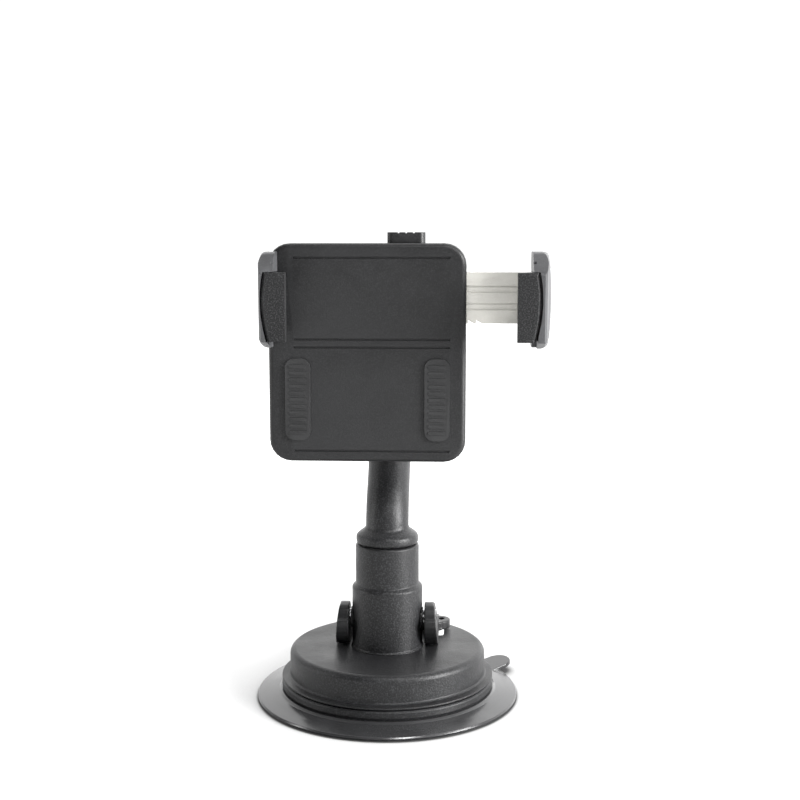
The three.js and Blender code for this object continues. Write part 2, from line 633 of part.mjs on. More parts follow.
// The right jaw before it is split: its front, side and top outlines together. Its outer side bows
// out more at the front, in line with the lip.
function jawBlank(reach, corner) {
  const side = PHONE.right;
  const outer = side + JAW_OUTER;
  const sideView = [
    [JAW.front, JAW.lipBottom + 0.8], [JAW.front + 0.8, JAW.lipBottom], [-26, JAW.bottom],
    [JAW.back, JAW.bottom], [JAW.back, JAW.top], [-25.5, JAW.top], [-28.5, JAW.top - 1.2],
    [JAW.front + 0.8, JAW.lipTop], [JAW.front, JAW.lipTop - 0.8],
  ];
  const topView = [
    [side - 6, JAW.front], [side + FACING_OUTER, JAW.front], [side + 4, JAW.front + 1.4],
    [outer - 0.9, -27.5], [outer, -23], [outer, JAW.back], [side - 6, JAW.back],
  ];
  const rear = plateXZ(jawOutline(reach, JAW_BULGE.back, corner), -22, JAW.back);
  const front = plateXZ(jawOutline(reach, JAW_BULGE.front, corner), JAW.front, JAW.front + 1);
  return wasm.Manifold.hull([rear, front])
    .intersect(plateYZ(sideView, side - 6, outer + 1))
    .intersect(plateXY(topView, 110, 160));
}

// The plastic arm of a jaw, drawn on the right; rearInner is its inner face behind the phone. Above
// the lip it comes in to the phone's side, with a small nick there.
function jawArm(rearInner) {
  const side = PHONE.right;
  const ledge = JAW.lipTop + GAP;
  const lipSpace = plateXZ(jawOutline(ARM_INNER, JAW_BULGE.front, 0), JAW.front - 1, PHONE.front + GAP)
    .intersect(box(side - 10, side + 9, JAW.front - 2, JAW.back, 110, ledge));
  return cut(jawBlank(JAW_OUTER, JAW_CORNER), [
    lipSpace,
    box(side - 10, side + FACING_WALL + GAP, JAW.front - 1, PHONE.back + 0.2, 110, ledge),
    box(side - 10, side + 0.15, JAW.front - 1, PHONE.back + 0.2, 110, 160),
    box(side - 1, side + 1, JAW.front - 1, -29.5, 145.8, 146.6),
    box(side - 10, rearInner, PHONE.back, JAW.back + 1, 110, 160),
  ]);
}

// The soft facing: a lip in front of the phone and a thin wall along its side.
function jawFacing(lipReach) {
  const side = PHONE.right;
  return cut(jawBlank(FACING_OUTER, 0), [
    box(side - 10, side - lipReach, JAW.front - 1, JAW.back + 1, 110, 160),
    box(side - 10, side, PHONE.front, JAW.back + 1, 110, 160),
    box(side + FACING_WALL, side + 9, PHONE.front, JAW.back + 1, 110, 160),
    box(side - 10, side + 9, PHONE.back - 0.1, JAW.back + 1, 110, 160),
    box(side - 10, side + 9, JAW.front - 1, JAW.back, JAW.lipTop, 160),
    box(side - 10, side + 9, JAW.front - 1, JAW.back, 110, JAW.lipBottom),
  ]);
}

function mirrored(whole) {
  return whole.mirror([1, 0, 0]).translate([2 * JAW_CENTRE, 0, 0]);
}

function leftJaw() {
  const arm = mirrored(jawArm(2 * JAW_CENTRE - BODY.left + GAP));
  const tongue = box(BODY.left - 1.5, TONGUE_END, RAIL.front, RAIL.back, RAIL.bottom, RAIL.top);
  return cut(arm.add(tongue), LEFT_JAW_SCREWS.map(([x, z]) => bar('y', 1.5, -19, -14, x, z, 8)));
}

function rightJaw() {
  const pocket = box(46, 51, RAIL.front - GAP, RAIL.back + GAP, RAIL.bottom - GAP, RAIL.top + GAP);
  const holes = RIGHT_JAW_SCREWS.flatMap(([x, z]) => [
    bar('y', 1.2, -19.6, -12, x, z, 8), bar('y', 1.9, -13.8, -12, x, z, 8),
  ]);
  return cut(jawArm(PHONE.right + GAP), [pocket, ...holes]);
}

function jawRail() {
  const end = PHONE.right + 4.6;
  const rail = box(RAIL_LEFT, end, RAIL.front, RAIL.back, RAIL.bottom, RAIL.top);
  const teeth = [];
  for (let x = RAIL_LEFT + 4; x < 30; x += TOOTH_PITCH) {
    teeth.push(plateXZ([
      [x, RAIL.bottom - 0.1], [x + TOOTH_PITCH - 0.4, RAIL.bottom - 0.1], [x, RAIL.bottom + TOOTH_DEPTH],
    ], RAIL.front - 1, RAIL.back + 1));
  }
  const holes = RIGHT_JAW_SCREWS.map(([x, z]) => bar('y', 1.2, -19, -12, x, z, 8));
  return cut(rail, [...teeth, ...holes]);
}

// ---------------------------------------------------------------- release button
const SLIDER = { front: -15.1, back: -13.7, bottom: 122 };

function pawlSlider() {
  const frame = box(BUTTON_X - 7, BUTTON_X + 7, SLIDER.front, SLIDER.back, SLIDER.bottom, BODY.top - 2.4);
  const neck = box(BUTTON_X - 4.5, BUTTON_X + 4.5, SLIDER.front, SLIDER.back, 145, BODY.top - 1);
  const block = box(BUTTON_X - 5, BUTTON_X + 5, RAIL.front, SLIDER.front + 0.2, 123.4, 125.6);
  const teeth = [];
  for (let i = 0; i < 4; i += 1) {
    const x = BUTTON_X - 5 + i * TOOTH_PITCH;
    teeth.push(plateXZ([
      [x, 125.5], [x + TOOTH_PITCH - 0.4, 125.5], [x, RAIL.bottom - 0.2],
    ], RAIL.front, RAIL.back));
  }
  const window = box(BUTTON_X - 4, BUTTON_X + 4, -20, -10, 129, 142);
  return union([frame, neck, block, ...teeth]).subtract(window);
}

function releaseButton() {
  const outline = roundedRectangle(BUTTON_X - 6, BUTTON_X + 6, -16, -10.6, 2);
  const cap = plateXY(outline, BODY.top - 2.2, BODY.top + 3.4);
  const slot = box(
    BUTTON_X - 4.8, BUTTON_X + 4.8, SLIDER.front - GAP, SLIDER.back + GAP, BODY.top - 3, BODY.top - 0.7,
  );
  return cap.subtract(slot);
}

// ---------------------------------------------------------------- assembly
const group = new THREE.Group();
function place(name, material, whole) {
  group.add(mesh(name, material, whole));
}

place('gel_pad', look.gel(), gelPad());
place('suction_cup', look.rubber(), suctionCup());
place('cup_hub', look.rubber(), cupHub());
place('pull_stem', look.nylon(), pullStem());
place('stem_spring', look.steel(), coilSpring(0, 0, PLATE_TOP, HOUSING_TOP - HOUSING_WALL, 5.7, 0.55, 4));
place('base_ring', look.shell(), baseRing());
place('base_housing', look.shell(), baseHousing());
RING_SCREWS.forEach((degrees, i) => {
  const [x, y] = onCircle(RING_SCREW_CIRCLE, degrees);
  place(`ring_screw_${i + 1}`, look.steel(), screw('z', x, y, 3.6, 5.2, 12.4));
});
place('neck_post', look.shell(), neckPost());
NECK_SCREWS.forEach((degrees, i) => {
  const [x, y] = onCircle(NECK_SCREW_CIRCLE, degrees);
  place(`neck_screw_${i + 1}`, look.steel(), screw('z', x, y, 12.9, 14.5, 23, 1.2, 2));
});
place('lever_pin', look.steel(), bar('x', PIN_RADIUS, -PIN_HALF, PIN_HALF, 0, PIN_Z));
place('suction_lever', look.gloss(), suctionLever());

place('swivel_bolt', look.steel(), screw('z', 0, 0, 34.2, 36.9, 47.5, 2, 3.6));
place('swivel_washer', look.steel(), bar('z', 4.6, 37, 37.9, 0, 0, COARSE).subtract(
  bar('z', 2.3, 36, 39, 0, 0)));
place('support_arm', look.shell(), supportArm());
place('ball_stud', look.steel(), ballStud());
place('stud_nut', look.steel(), studNut());
place('ball_liner', look.nylon(), ballLiner());
place('ball_socket', look.shell(), ballSocket());
place('lock_ring', look.shell(), lockRing());

place('cradle_front_shell', look.shell(), cradleFrontShell());
place('cradle_back_shell', look.shell(), cradleBackShell());
place('swivel_retainer', look.steel(), swivelRetainer());
RETAINER_SCREWS.forEach((degrees, i) => {
  const [x, z] = onCircle(RETAINER_CIRCLE, degrees);
  place(`retainer_screw_${i + 1}`, look.steel(), screw('y', x, BALL.z + z, -13.6, -12.5, -8, 0.9, 1.7));
});
place('friction_washer', look.steel(), frictionWasher());
SHELL_SCREWS.forEach(([x, z], i) => {
  place(`shell_screw_${i + 1}`, look.steel(), screw('y', x, z, -7.7, -6.3, -18.4));
});
place('left_grip_strip', look.rubber(), gripStrip(-31, -23));
place('right_grip_strip', look.rubber(), gripStrip(13, 21));
place('left_jaw', look.shell(), leftJaw());
place('left_jaw_facing', look.rubber(), mirrored(jawFacing(LIP_REACH.left)));
LEFT_JAW_SCREWS.forEach(([x, z], i) => {
  place(`left_jaw_screw_${i + 1}`, look.steel(), screw('y', x, z, -15.5, -14.2, -19));
});
place('right_jaw', look.shell(), rightJaw());
place('right_jaw_facing', look.rubber(), jawFacing(LIP_REACH.right));
RIGHT_JAW_SCREWS.forEach(([x, z], i) => {
  place(`right_jaw_screw_${i + 1}`, look.steel(), screw('y', x, z, -13.7, -12.6, -18.6, 0.9, 1.6));
});
place('jaw_rail', look.nylon(), jawRail());
place('pawl_slider', look.nylon(), pawlSlider());
place('release_button', look.gloss(), releaseButton());
place('button_spring', look.steel(), coilSpring(BUTTON_X, -15.6, 115, SLIDER.bottom, 1.5, 0.3, 4));

export default group;
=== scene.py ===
"""Looks for a car phone mount: suction base, cam lever, neck, swivel arm, ball joint and cradle.

Every dimension below is in millimetres unless it says otherwise; make_mesh() turns them into metres.
"""
import json
import math

import bmesh
import bpy
from mathutils import Matrix, Vector


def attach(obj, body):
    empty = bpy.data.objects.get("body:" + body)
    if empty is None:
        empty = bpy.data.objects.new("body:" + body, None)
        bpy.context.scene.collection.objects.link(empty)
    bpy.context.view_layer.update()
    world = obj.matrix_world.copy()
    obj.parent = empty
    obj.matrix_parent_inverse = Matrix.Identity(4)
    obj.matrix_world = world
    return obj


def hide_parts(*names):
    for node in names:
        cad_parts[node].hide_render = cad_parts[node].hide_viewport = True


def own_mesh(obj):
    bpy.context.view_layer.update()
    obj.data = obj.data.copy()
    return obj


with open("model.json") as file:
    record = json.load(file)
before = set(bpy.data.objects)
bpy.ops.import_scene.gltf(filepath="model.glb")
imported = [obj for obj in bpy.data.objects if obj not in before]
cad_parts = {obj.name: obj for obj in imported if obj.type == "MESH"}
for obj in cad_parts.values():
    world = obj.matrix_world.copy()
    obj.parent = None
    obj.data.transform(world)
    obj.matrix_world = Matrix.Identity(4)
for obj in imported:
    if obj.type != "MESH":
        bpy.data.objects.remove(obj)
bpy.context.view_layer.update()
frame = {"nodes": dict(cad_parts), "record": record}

MM = 0.001
ROUND = 192          # sides of the large round parts
SMALL_ROUND = 64     # sides of screws, pins and holes
FILLET_STEPS = 6

# ------------------------------------------------------------------ dimensions shared with the CAD
CUP_RADIUS = 43.9
CUP_TOP = 3.3
TAB_ANGLE = 33
TAB_TIP = 50
TAB_WIDTH = 10
RING_RADIUS = 35.6
RING_TOP = 6.5
HOUSING_RADIUS = 32.9
HOUSING_TOP = 16.8
NOTCH_HALF = 18.9
NOTCH_FLOOR = 9.5
NOTCH_EDGE = [(NOTCH_HALF, 10.4), (15.5, 10.4), (13.5, 16.5)]
NECK_RADIUS = 11.8
NECK_UPPER_RADIUS = 10.6
NECK_SHOULDER = 37.5
NECK_TOP = 52
PIN_Z = 27.4
STEM_DROP = 2.2
LEVER_OPEN = 60
EAR_INNER = 12.6
EAR_OUTER = 16.6
EAR_FRONT = [
    (-6.7, 22.9), (-7.0, 24.8), (-7.0, 26.8), (-5.7, 27.2), (-5.3, 28.6), (-4.5, 30.2), (-2.9, 31.3),
    (-0.9, 31.7), (1.3, 31.5), (3, 30.5), (4.1, 28.9),
]
YOKE_FRONT, YOKE_BACK, YOKE_BOTTOM, YOKE_TOP, YOKE_RIGHT = 13.5, 22.5, 17.4, 20.4, 18.6
LUG_X, LUG_Y, LUG_RADIUS = 17, 18.4, 4
TAIL_HALF = 17
TAIL_END = 43
ARM_RADIUS = 7.2
ARM_OFFSET = 17
HEAD_LENGTH = 14.8
BALL_Y = -1
BALL_Z = 117.5
BALL_RADIUS = 7.5
SOCKET_SPHERE = 9.6
SOCKET_RADIUS = 12
LOCK_RING_RADIUS = 15.5
BODY_LEFT, BODY_RIGHT, BODY_BOTTOM, BODY_TOP = -36.3, 26, 83, 152
BODY_CORNER = 7
FRONT_FACE, FRONT_SEAM, BACK_SEAM, BACK_FACE = -20, -13.8, -13.5, -6
SHELL = 2
PHONE_LEFT, PHONE_RIGHT, PHONE_FRONT, PHONE_BACK = -32.8, 46, -30.2, -21
JAW_CENTRE = (PHONE_LEFT + PHONE_RIGHT) / 2
JAW_BOTTOM, JAW_TOP = 119.8, 149.4
LIP_BOTTOM, LIP_TOP = 122.2, 143.2
JAW_FRONT, JAW_BACK = -33.6, -12.5
JAW_OUTER = 6
LIP_REACH_LEFT, LIP_REACH_RIGHT = 3.8, 4.6
FACING_WALL = 1.4
JAW_SCREWS = [(49.2, 131), (49.2, 139)]
RAIL_FRONT, RAIL_BACK, RAIL_BOTTOM, RAIL_TOP = -17.6, -15.6, 127, 143
RAIL_LEFT = -10
BUTTON_X = 7
BUTTON_SPRING_FOOT, PAWL_BOTTOM = 115, 122
BUTTON_SPRING_Y = -15.6
HUB_RADIUS, HUB_TOP = 11, 6.5
SHELL_SCREWS = [(-30.5, 89), (20, 89), (-30.5, 146), (20, 146)]

# ------------------------------------------------------------------ jaw shapes
# The arms are rounder in front than in the CAD but keep its boxes; the facings are 1.4 mm (left)
# and 0.3 mm (right) wider.
BULGE_BACK, BULGE_FRONT = 0.9, 2.6
CORNER_BACK, CORNER_FRONT = 2.4, 5
FACING_LEFT, FACING_RIGHT = 3.6, 2.5
ARM_LEFT, ARM_RIGHT = 3.9, 3
FRONT_REACH = 3.6    # how far the jaws' front face runs out from the phone's side
CUT_LOW, CUT_HIGH = 110, 160    # heights that cutting tools start and end at, clear of the jaws


# ------------------------------------------------------------------ mesh helpers
def make_mesh(name, verts, faces):
    mesh = bpy.data.meshes.new(name)
    mesh.from_pydata([Vector(v) * MM for v in verts], [], faces)
    bm = bmesh.new()
    bm.from_mesh(mesh)
    bmesh.ops.recalc_face_normals(bm, faces=bm.faces)
    bm.to_mesh(mesh)
    bm.free()
    piece = bpy.data.objects.new(name, mesh)
    bpy.context.scene.collection.objects.link(piece)
    return piece


def rounded(corners, closed=False, steps=FILLET_STEPS):
    """Points of an outline whose corners (u, v, radius) are turned into arcs."""
    points = []
    count = len(corners)
    for i, (u, v, radius) in enumerate(corners):
        here = Vector((u, v))
        if radius == 0 or (not closed and i in (0, count - 1)):
            points.append(here)
            continue
        before = Vector(corners[i - 1][:2]) - here
        after = Vector(corners[(i + 1) % count][:2]) - here
        half = before.angle(after) / 2
        reach = min(radius / math.tan(half), 0.49 * before.length, 0.49 * after.length)
        to_centre = (before.normalized() + after.normalized()).normalized()
        centre = here + to_centre * reach / math.cos(half)
        start = here + before.normalized() * reach - centre
        end = here + after.normalized() * reach - centre
        sweep = math.atan2(start.cross(end), start.dot(end))
        for k in range(steps + 1):
            points.append(centre + Matrix.Rotation(sweep * k / steps, 2) @ start)
    return points


def rectangle(left, right, bottom, top, radius):
    corners = [(right, bottom), (right, top), (left, top), (left, bottom)]
    return rounded([(u, v, radius) for u, v in corners], closed=True)


def turned(name, profile, axis="Z", centre=(0, 0, 0), sides=ROUND, closed=False):
    """Turns (radius, height) points about an axis; a closed profile makes a ring."""
    verts, rows = [], []
    for radius, height in profile:
        row = []
        for k in range(1 if radius < 1e-6 else sides):
            angle = 2 * math.pi * k / sides
            u, v = radius * math.cos(angle), radius * math.sin(angle)
            spot = (u, v, height) if axis == "Z" else (u, height, v)
            row.append(len(verts))
            verts.append(Vector(spot) + Vector(centre))
        rows.append(row)
    faces = []
    pairs = list(zip(rows, rows[1:])) + ([(rows[-1], rows[0])] if closed else [])
    for low, high in pairs:
        for k in range(sides):
            after = (k + 1) % sides
            if len(low) == 1 and len(high) == 1:
                continue
            if len(low) == 1:
                faces.append((low[0], high[after], high[k]))
            elif len(high) == 1:
                faces.append((low[k], low[after], high[0]))
            else:
                faces.append((low[k], low[after], high[after], high[k]))
    return make_mesh(name, verts, faces)


def prism(name, outline, low, high, axis):
    """Extrudes a flat outline along an axis; the outline's (u, v) are the other two axes in order."""
    order = {"X": lambda u, v, w: (w, u, v), "Y": lambda u, v, w: (u, w, v), "Z": lambda u, v, w: (u, v, w)}
    place = order[axis]
    count = len(outline)
    verts = [place(u, v, low) for u, v in outline] + [place(u, v, high) for u, v in outline]
    faces = [tuple(range(count)), tuple(range(2 * count - 1, count - 1, -1))]
    faces += [(k, (k + 1) % count, count + (k + 1) % count, count + k) for k in range(count)]
    return make_mesh(name, verts, faces)


def block(name, x0, x1, y0, y1, z0, z1):
    return prism(name, [(x0, y0), (x1, y0), (x1, y1), (x0, y1)], z0, z1, "Z")


def rod(name, axis, radius, low, high, u, v, sides=SMALL_ROUND):
    ring = [2 * math.pi * k / sides for k in range(sides)]
    outline = [(u + radius * math.cos(a), v + radius * math.sin(a)) for a in ring]
    return prism(name, outline, low, high, axis)


def bake(piece):
    """Applies a piece's modifiers to its mesh."""
    evaluated = piece.evaluated_get(bpy.context.evaluated_depsgraph_get())
    mesh = bpy.data.meshes.new_from_object(evaluated)
    piece.modifiers.clear()
    piece.data = mesh


def combine(piece, tools, operation):
    for tool in tools:
        change = piece.modifiers.new(operation, "BOOLEAN")
        change.operation = operation
        change.solver = "EXACT"
        change.object = tool
        bake(piece)
        bpy.data.objects.remove(tool)
    return piece


def cut(piece, *tools):
    return combine(piece, tools, "DIFFERENCE")


def join(piece, *tools):
    return combine(piece, tools, "UNION")


def common(piece, *tools):
    return combine(piece, tools, "INTERSECT")


def soften(piece, width, angle=35, steps=3):
    """Rounds every edge sharper than an angle in degrees."""
    bevel = piece.modifiers.new("soften", "BEVEL")
    bevel.width = width * MM
    bevel.segments = steps
    bevel.limit_method = "ANGLE"
    bevel.angle_limit = math.radians(angle)
    bevel.use_clamp_overlap = True
    bake(piece)
    return piece


def smooth(piece, angle=32):
    """Smooth shading that leaves the flat faces flat and the edges sharper than an angle crisp."""
    piece.data.shade_smooth()
    piece.data.set_sharp_from_angle(angle=math.radians(angle))
    even = piece.modifiers.new("even", "WEIGHTED_NORMAL")
    even.keep_sharp = True
    bake(piece)
    return piece


def flip(piece, centre):
    """Mirrors a piece left to right about x = centre."""
    swap = Matrix.Translation((2 * centre * MM, 0, 0)) @ Matrix.Scale(-1, 4, (1, 0, 0))
    piece.data.transform(swap)
    piece.data.flip_normals()
    return piece


def done(piece, body, material, replaces):
    """Gives a finished piece its body, its material and the CAD nodes that it stands for."""
    piece.data.materials.clear()
    piece.data.materials.append(material)
    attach(piece, body)
    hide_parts(*replaces)
    return piece


# ------------------------------------------------------------------ materials
class Look:
    """A Principled material with helpers that add procedural detail."""

    def __init__(self, name, colour, roughness, metallic=0.0, specular=0.5, coat=0.0):
        self.material = bpy.data.materials.new(name)
        self.material.use_nodes = True
        self.tree = self.material.node_tree
        self.shader = self.tree.nodes["Principled BSDF"]
        self.colour = colour
        self.shader.inputs["Base Color"].default_value = (*colour, 1)
        self.shader.inputs["Roughness"].default_value = roughness
        self.shader.inputs["Metallic"].default_value = metallic
        self.shader.inputs["Specular IOR Level"].default_value = specular
        self.shader.inputs["Coat Weight"].default_value = coat
        self.shader.inputs["Coat Roughness"].default_value = 0.3
        self.place = self.node("ShaderNodeTexCoord").outputs["Object"]
        self.normal = None

    def node(self, kind, **values):
        made = self.tree.nodes.new(kind)
        for key, value in values.items():
            setattr(made, key, value)
        return made

    def link(self, source, target):
        self.tree.links.new(source, target)

    def noise(self, size, detail=3.0, stretch=None):
        """Noise whose features are about `size` mm across, longer along a stretched axis."""
        texture = self.node("ShaderNodeTexNoise")
        texture.inputs["Scale"].default_value = 1 / (size * MM)
        texture.inputs["Detail"].default_value = detail
        place = self.place
        if stretch:
            mapping = self.node("ShaderNodeMapping")
            mapping.inputs["Scale"].default_value = stretch
            self.link(place, mapping.inputs["Vector"])
            place = mapping.outputs["Vector"]
        self.link(place, texture.inputs["Vector"])
        return texture.outputs["Fac"]

    def scaled(self, value, low, high, start=0.35, end=0.65):
        """Maps a 0..1 value between two numbers, from `start` to `end` of its range."""
        spread = self.node("ShaderNodeMapRange")
        self.link(value, spread.inputs["Value"])
        for key, number in zip(("From Min", "From Max", "To Min", "To Max"), (start, end, low, high)):
            spread.inputs[key].default_value = number
        return spread.outputs["Result"]

    def bump(self, height, depth):
        """Adds a bump `depth` mm deep, on top of any earlier one."""
        bump = self.node("ShaderNodeBump")
        bump.inputs["Distance"].default_value = depth * MM
        bump.inputs["Strength"].default_value = 1
        self.link(height, bump.inputs["Height"])
        if self.normal:
            self.link(self.normal, bump.inputs["Normal"])
        self.normal = bump.outputs["Normal"]
        self.link(self.normal, self.shader.inputs["Normal"])

    def mix(self, factor, first, second):
        mixer = self.node("ShaderNodeMix", data_type="RGBA")
        self.link(factor, mixer.inputs["Factor"])
        for socket, value in ((mixer.inputs[6], first), (mixer.inputs[7], second)):
            if isinstance(value, tuple):
                socket.default_value = (*value, 1)
            else:
                self.link(value, socket)
        return mixer.outputs[2]

    def edges(self, low=0.52, high=0.62):
        """1 on convex edges, 0 on flat and hollow ground."""
        return self.scaled(self.node("ShaderNodeNewGeometry").outputs["Pointiness"], 0, 1, low, high)

    def shaded(self, value):
        return tuple(min(1.0, channel * value) for channel in self.colour)


def moulded(name, colour, roughness, grain=0.35, depth=0.03, speckle=0.35, wear=1.7, specular=0.5, dots=2.3):
    """Moulded plastic or rubber: spark-eroded grain, patchy sheen, fine speckle and rubbed edges."""
    look = Look(name, colour, roughness, specular=specular)
    fine = look.noise(grain, 2)
    coarse = look.noise(14, 3)
    dust = look.noise(grain * 0.9, 2)
    tone = look.mix(look.scaled(coarse, 0, 1), look.shaded(0.86), look.shaded(1.12))
    tone = look.mix(look.scaled(dust, 0, speckle, 0.48, 0.68), tone, look.shaded(dots))
    tone = look.mix(look.scaled(look.edges(), 0, 0.55, 0, 1), tone, look.shaded(wear))
    look.link(tone, look.shader.inputs["Base Color"])
    sheen = look.scaled(coarse, roughness - 0.05, roughness + 0.06)
    look.link(sheen, look.shader.inputs["Roughness"])
    look.bump(look.noise(9, 2), depth * 1.2)
    look.bump(fine, depth)
    return look.material


def brushed(name, colour, roughness, stretch=(1, 1, 0.05), grain=0.25):
    """Plated steel: fine drawn lines, light staining and brighter edges."""
    look = Look(name, colour, roughness, metallic=1)
    lines = look.noise(grain, 2, stretch)
    stain = look.noise(6, 4)
    tone = look.mix(look.scaled(stain, 0, 1), look.shaded(0.8), look.shaded(1.05))
    tone = look.mix(look.scaled(look.edges(), 0, 0.6, 0, 1), tone, look.shaded(1.3))
    look.link(tone, look.shader.inputs["Base Color"])
    look.link(look.scaled(lines, roughness - 0.07, roughness + 0.1), look.shader.inputs["Roughness"])
    look.bump(lines, 0.004)
    return look.material


def gel(name, colour):
    """Tacky gel: smooth, slightly translucent, with faint swirls and a little dust."""
    look = Look(name, colour, 0.2, coat=0.4)
    look.shader.inputs["Subsurface Weight"].default_value = 0.15
    look.shader.inputs["Subsurface Radius"].default_value = (0.002, 0.002, 0.002)
    swirl = look.noise(11, 2)
    dust = look.noise(0.6, 5)
    tone = look.mix(look.scaled(swirl, 0, 1), look.shaded(0.8), look.shaded(1.2))
    tone = look.mix(look.scaled(dust, 0, 0.5, 0.62, 0.72), tone, look.shaded(2.5))
    look.link(tone, look.shader.inputs["Base Color"])
    look.link(look.scaled(swirl, 0.14, 0.3), look.shader.inputs["Roughness"])
    look.bump(swirl, 0.05)
    return look.material


BASE = moulded(
    "base_plastic", (0.008, 0.0081, 0.0086), 0.42, grain=0.5, depth=0.1, speckle=1, specular=0.3, dots=3.6,
)
CUP = moulded("cup_rubber", (0.026, 0.0262, 0.0272), 0.2, grain=0.5, depth=0.008, speckle=0.12)
CRADLE = moulded("cradle_plastic", (0.01, 0.0101, 0.0106), 0.45, grain=0.45, depth=0.05, specular=0.3, dots=3)
LEVER = moulded("lever_plastic", (0.011, 0.0111, 0.0116), 0.4, grain=0.4, depth=0.03, specular=0.3)
JAW = moulded("jaw_plastic", (0.044, 0.0444, 0.0466), 0.42, grain=0.4, depth=0.02, speckle=0.2, specular=0.42)
GRIP = moulded(
    "grip_rubber", (0.011, 0.0111, 0.0115), 0.6, grain=0.45, depth=0.04, speckle=1, specular=0.16, dots=3.6,
)
# smoother than GRIP, so that the strips' low ribs stay plain
STRIP = moulded("strip_rubber", (0.016, 0.0161, 0.0166), 0.5, grain=0.3, depth=0.004, speckle=0.15, specular=0.3)
NYLON = moulded("nylon", (0.55, 0.54, 0.5), 0.42, grain=0.6, depth=0.012, speckle=0.05, wear=1.1)
STEEL = brushed("plated_steel", (0.62, 0.62, 0.63), 0.28)
POLISHED = brushed("polished_steel", (0.7, 0.7, 0.71), 0.16, grain=0.6)
GEL = gel("suction_gel", (0.05, 0.051, 0.054))


# ------------------------------------------------------------------ suction base
def suction_cup():
    profile = rounded([
        (0, 0.6, 0), (CUP_RADIUS - 0.3, 0.6, 0.15), (CUP_RADIUS + 0.05, 0.95, 0.15),
        (CUP_RADIUS - 0.35, 1.5, 0.3), (40, 2.1, 4), (36.6, 2.75, 1.2), (RING_RADIUS + 0.3, CUP_TOP, 0.2),
        (0, CUP_TOP, 0),
    ])
    disc = smooth(turned("suction_cup_skin", profile))
    done(disc, "base", CUP, ["suction_cup"])
    half = TAB_WIDTH / 2
    tongue = prism("pull_tab", rounded([
        (39, -half, 0), (TAB_TIP, -half, half), (TAB_TIP, half, half), (39, half, 0),
    ], closed=True, steps=16), 0, 1.3, "Z")
    soften(tongue, 0.28)
    tilt = Matrix.Translation((39 * MM, 0, 0.8 * MM)) @ Matrix.Rotation(math.radians(-11), 4, "Y")
    turn = Matrix.Rotation(math.radians(TAB_ANGLE), 4, "Z")
    tongue.data.transform(turn @ tilt @ Matrix.Translation((-39 * MM, 0, 0)))
    done(smooth(tongue), "base", CUP, ["suction_cup"])


def base_ring():
    profile = rounded([
        (23, CUP_TOP, 0), (RING_RADIUS - 0.5, CUP_TOP, 0.3), (RING_RADIUS, CUP_TOP + 0.9, 0.8),
        (RING_RADIUS, RING_TOP - 0.5, 0.5), (RING_RADIUS - 0.5, RING_TOP, 0.3), (23, RING_TOP, 0),
    ], closed=True)
    done(smooth(turned("base_ring_skin", profile, closed=True)), "base", BASE, ["base_ring"])


def housing_outer():
    r = HOUSING_RADIUS
    return [
        (RING_RADIUS - 0.4, 6.8, 0.2), (RING_RADIUS, 7.1, 0.3), (RING_RADIUS, 7.6, 0.4),
        (r + 0.5, 7.9, 0.4), (r, 8.4, 0.5), (r - 0.1, HOUSING_TOP, 2.1),
    ]


def notch_plan(grown, radius):
    right = [(x + (grown if k == 0 else -grown / 2), y - grown, radius) for k, (x, y) in enumerate(NOTCH_EDGE)]
    left = [(-x, y, radius) for x, y, radius in reversed(right)]
    ends = NOTCH_HALF + grown
    return rounded([(ends, 45, 0), *right, *left, (-ends, 45, 0)], closed=True)


def base_housing():
    shell = turned("housing_skin", rounded([(0, 6.8, 0), *housing_outer(), (0, HOUSING_TOP, 0)]))
    hollow = turned("housing_hollow", rounded([(0, 5, 0), (30.7, 5, 0), (30.4, 14.6, 1), (0, 14.6, 0)]))
    cut(hollow, prism("pocket", notch_plan(1.8, 1), NOTCH_FLOOR - 1, 20, "Z"))
    notch = prism("notch", notch_plan(0, 1.6), NOTCH_FLOOR, HOUSING_TOP + 2, "Z")
    cut(shell, hollow, notch, rod("stem_hole", "Z", 5, 10, 20, 0, 0))
    soften(shell, 0.45)
    done(smooth(shell), "base", BASE, ["base_housing"])


def neck_post():
    foot = HOUSING_TOP
    post = turned("neck_skin", rounded([
        (0, foot, 0), (NECK_RADIUS + 0.4, foot, 0.05), (NECK_RADIUS + 0.4, foot + 0.3, 0.12),
        (NECK_RADIUS, foot + 0.7, 0.3), (NECK_RADIUS, NECK_SHOULDER, 1.1),
        (NECK_UPPER_RADIUS, NECK_SHOULDER + 1.1, 0.6), (NECK_UPPER_RADIUS, NECK_TOP, 0.7), (0, NECK_TOP, 0),
    ]))
    pads = rod("neck_pads", "X", 3.6, -12.1, 12.1, 0, PIN_Z - STEM_DROP / 2)
    join(post, pads)
    hollow = turned("neck_bore", [(0, foot - 1), (5, foot - 1), (5, 38), (0, 38)], sides=SMALL_ROUND)
    recess = turned("neck_recess", [(0, 40), (7.3, 40), (7.3, NECK_TOP + 1), (0, NECK_TOP + 1)])
    bolt_hole = rod("neck_bolt_hole", "Z", 2.3, 37, 41, 0, 0)
    slot = prism("pin_slot", rectangle(-2.3, 2.3, PIN_Z - STEM_DROP - 2.4, PIN_Z + 2.4, 2.2), -14, 14, "X")
    cut(post, hollow, recess, bolt_hole, slot)
    soften(post, 0.25)
    done(smooth(post), "base", BASE, ["neck_post"])


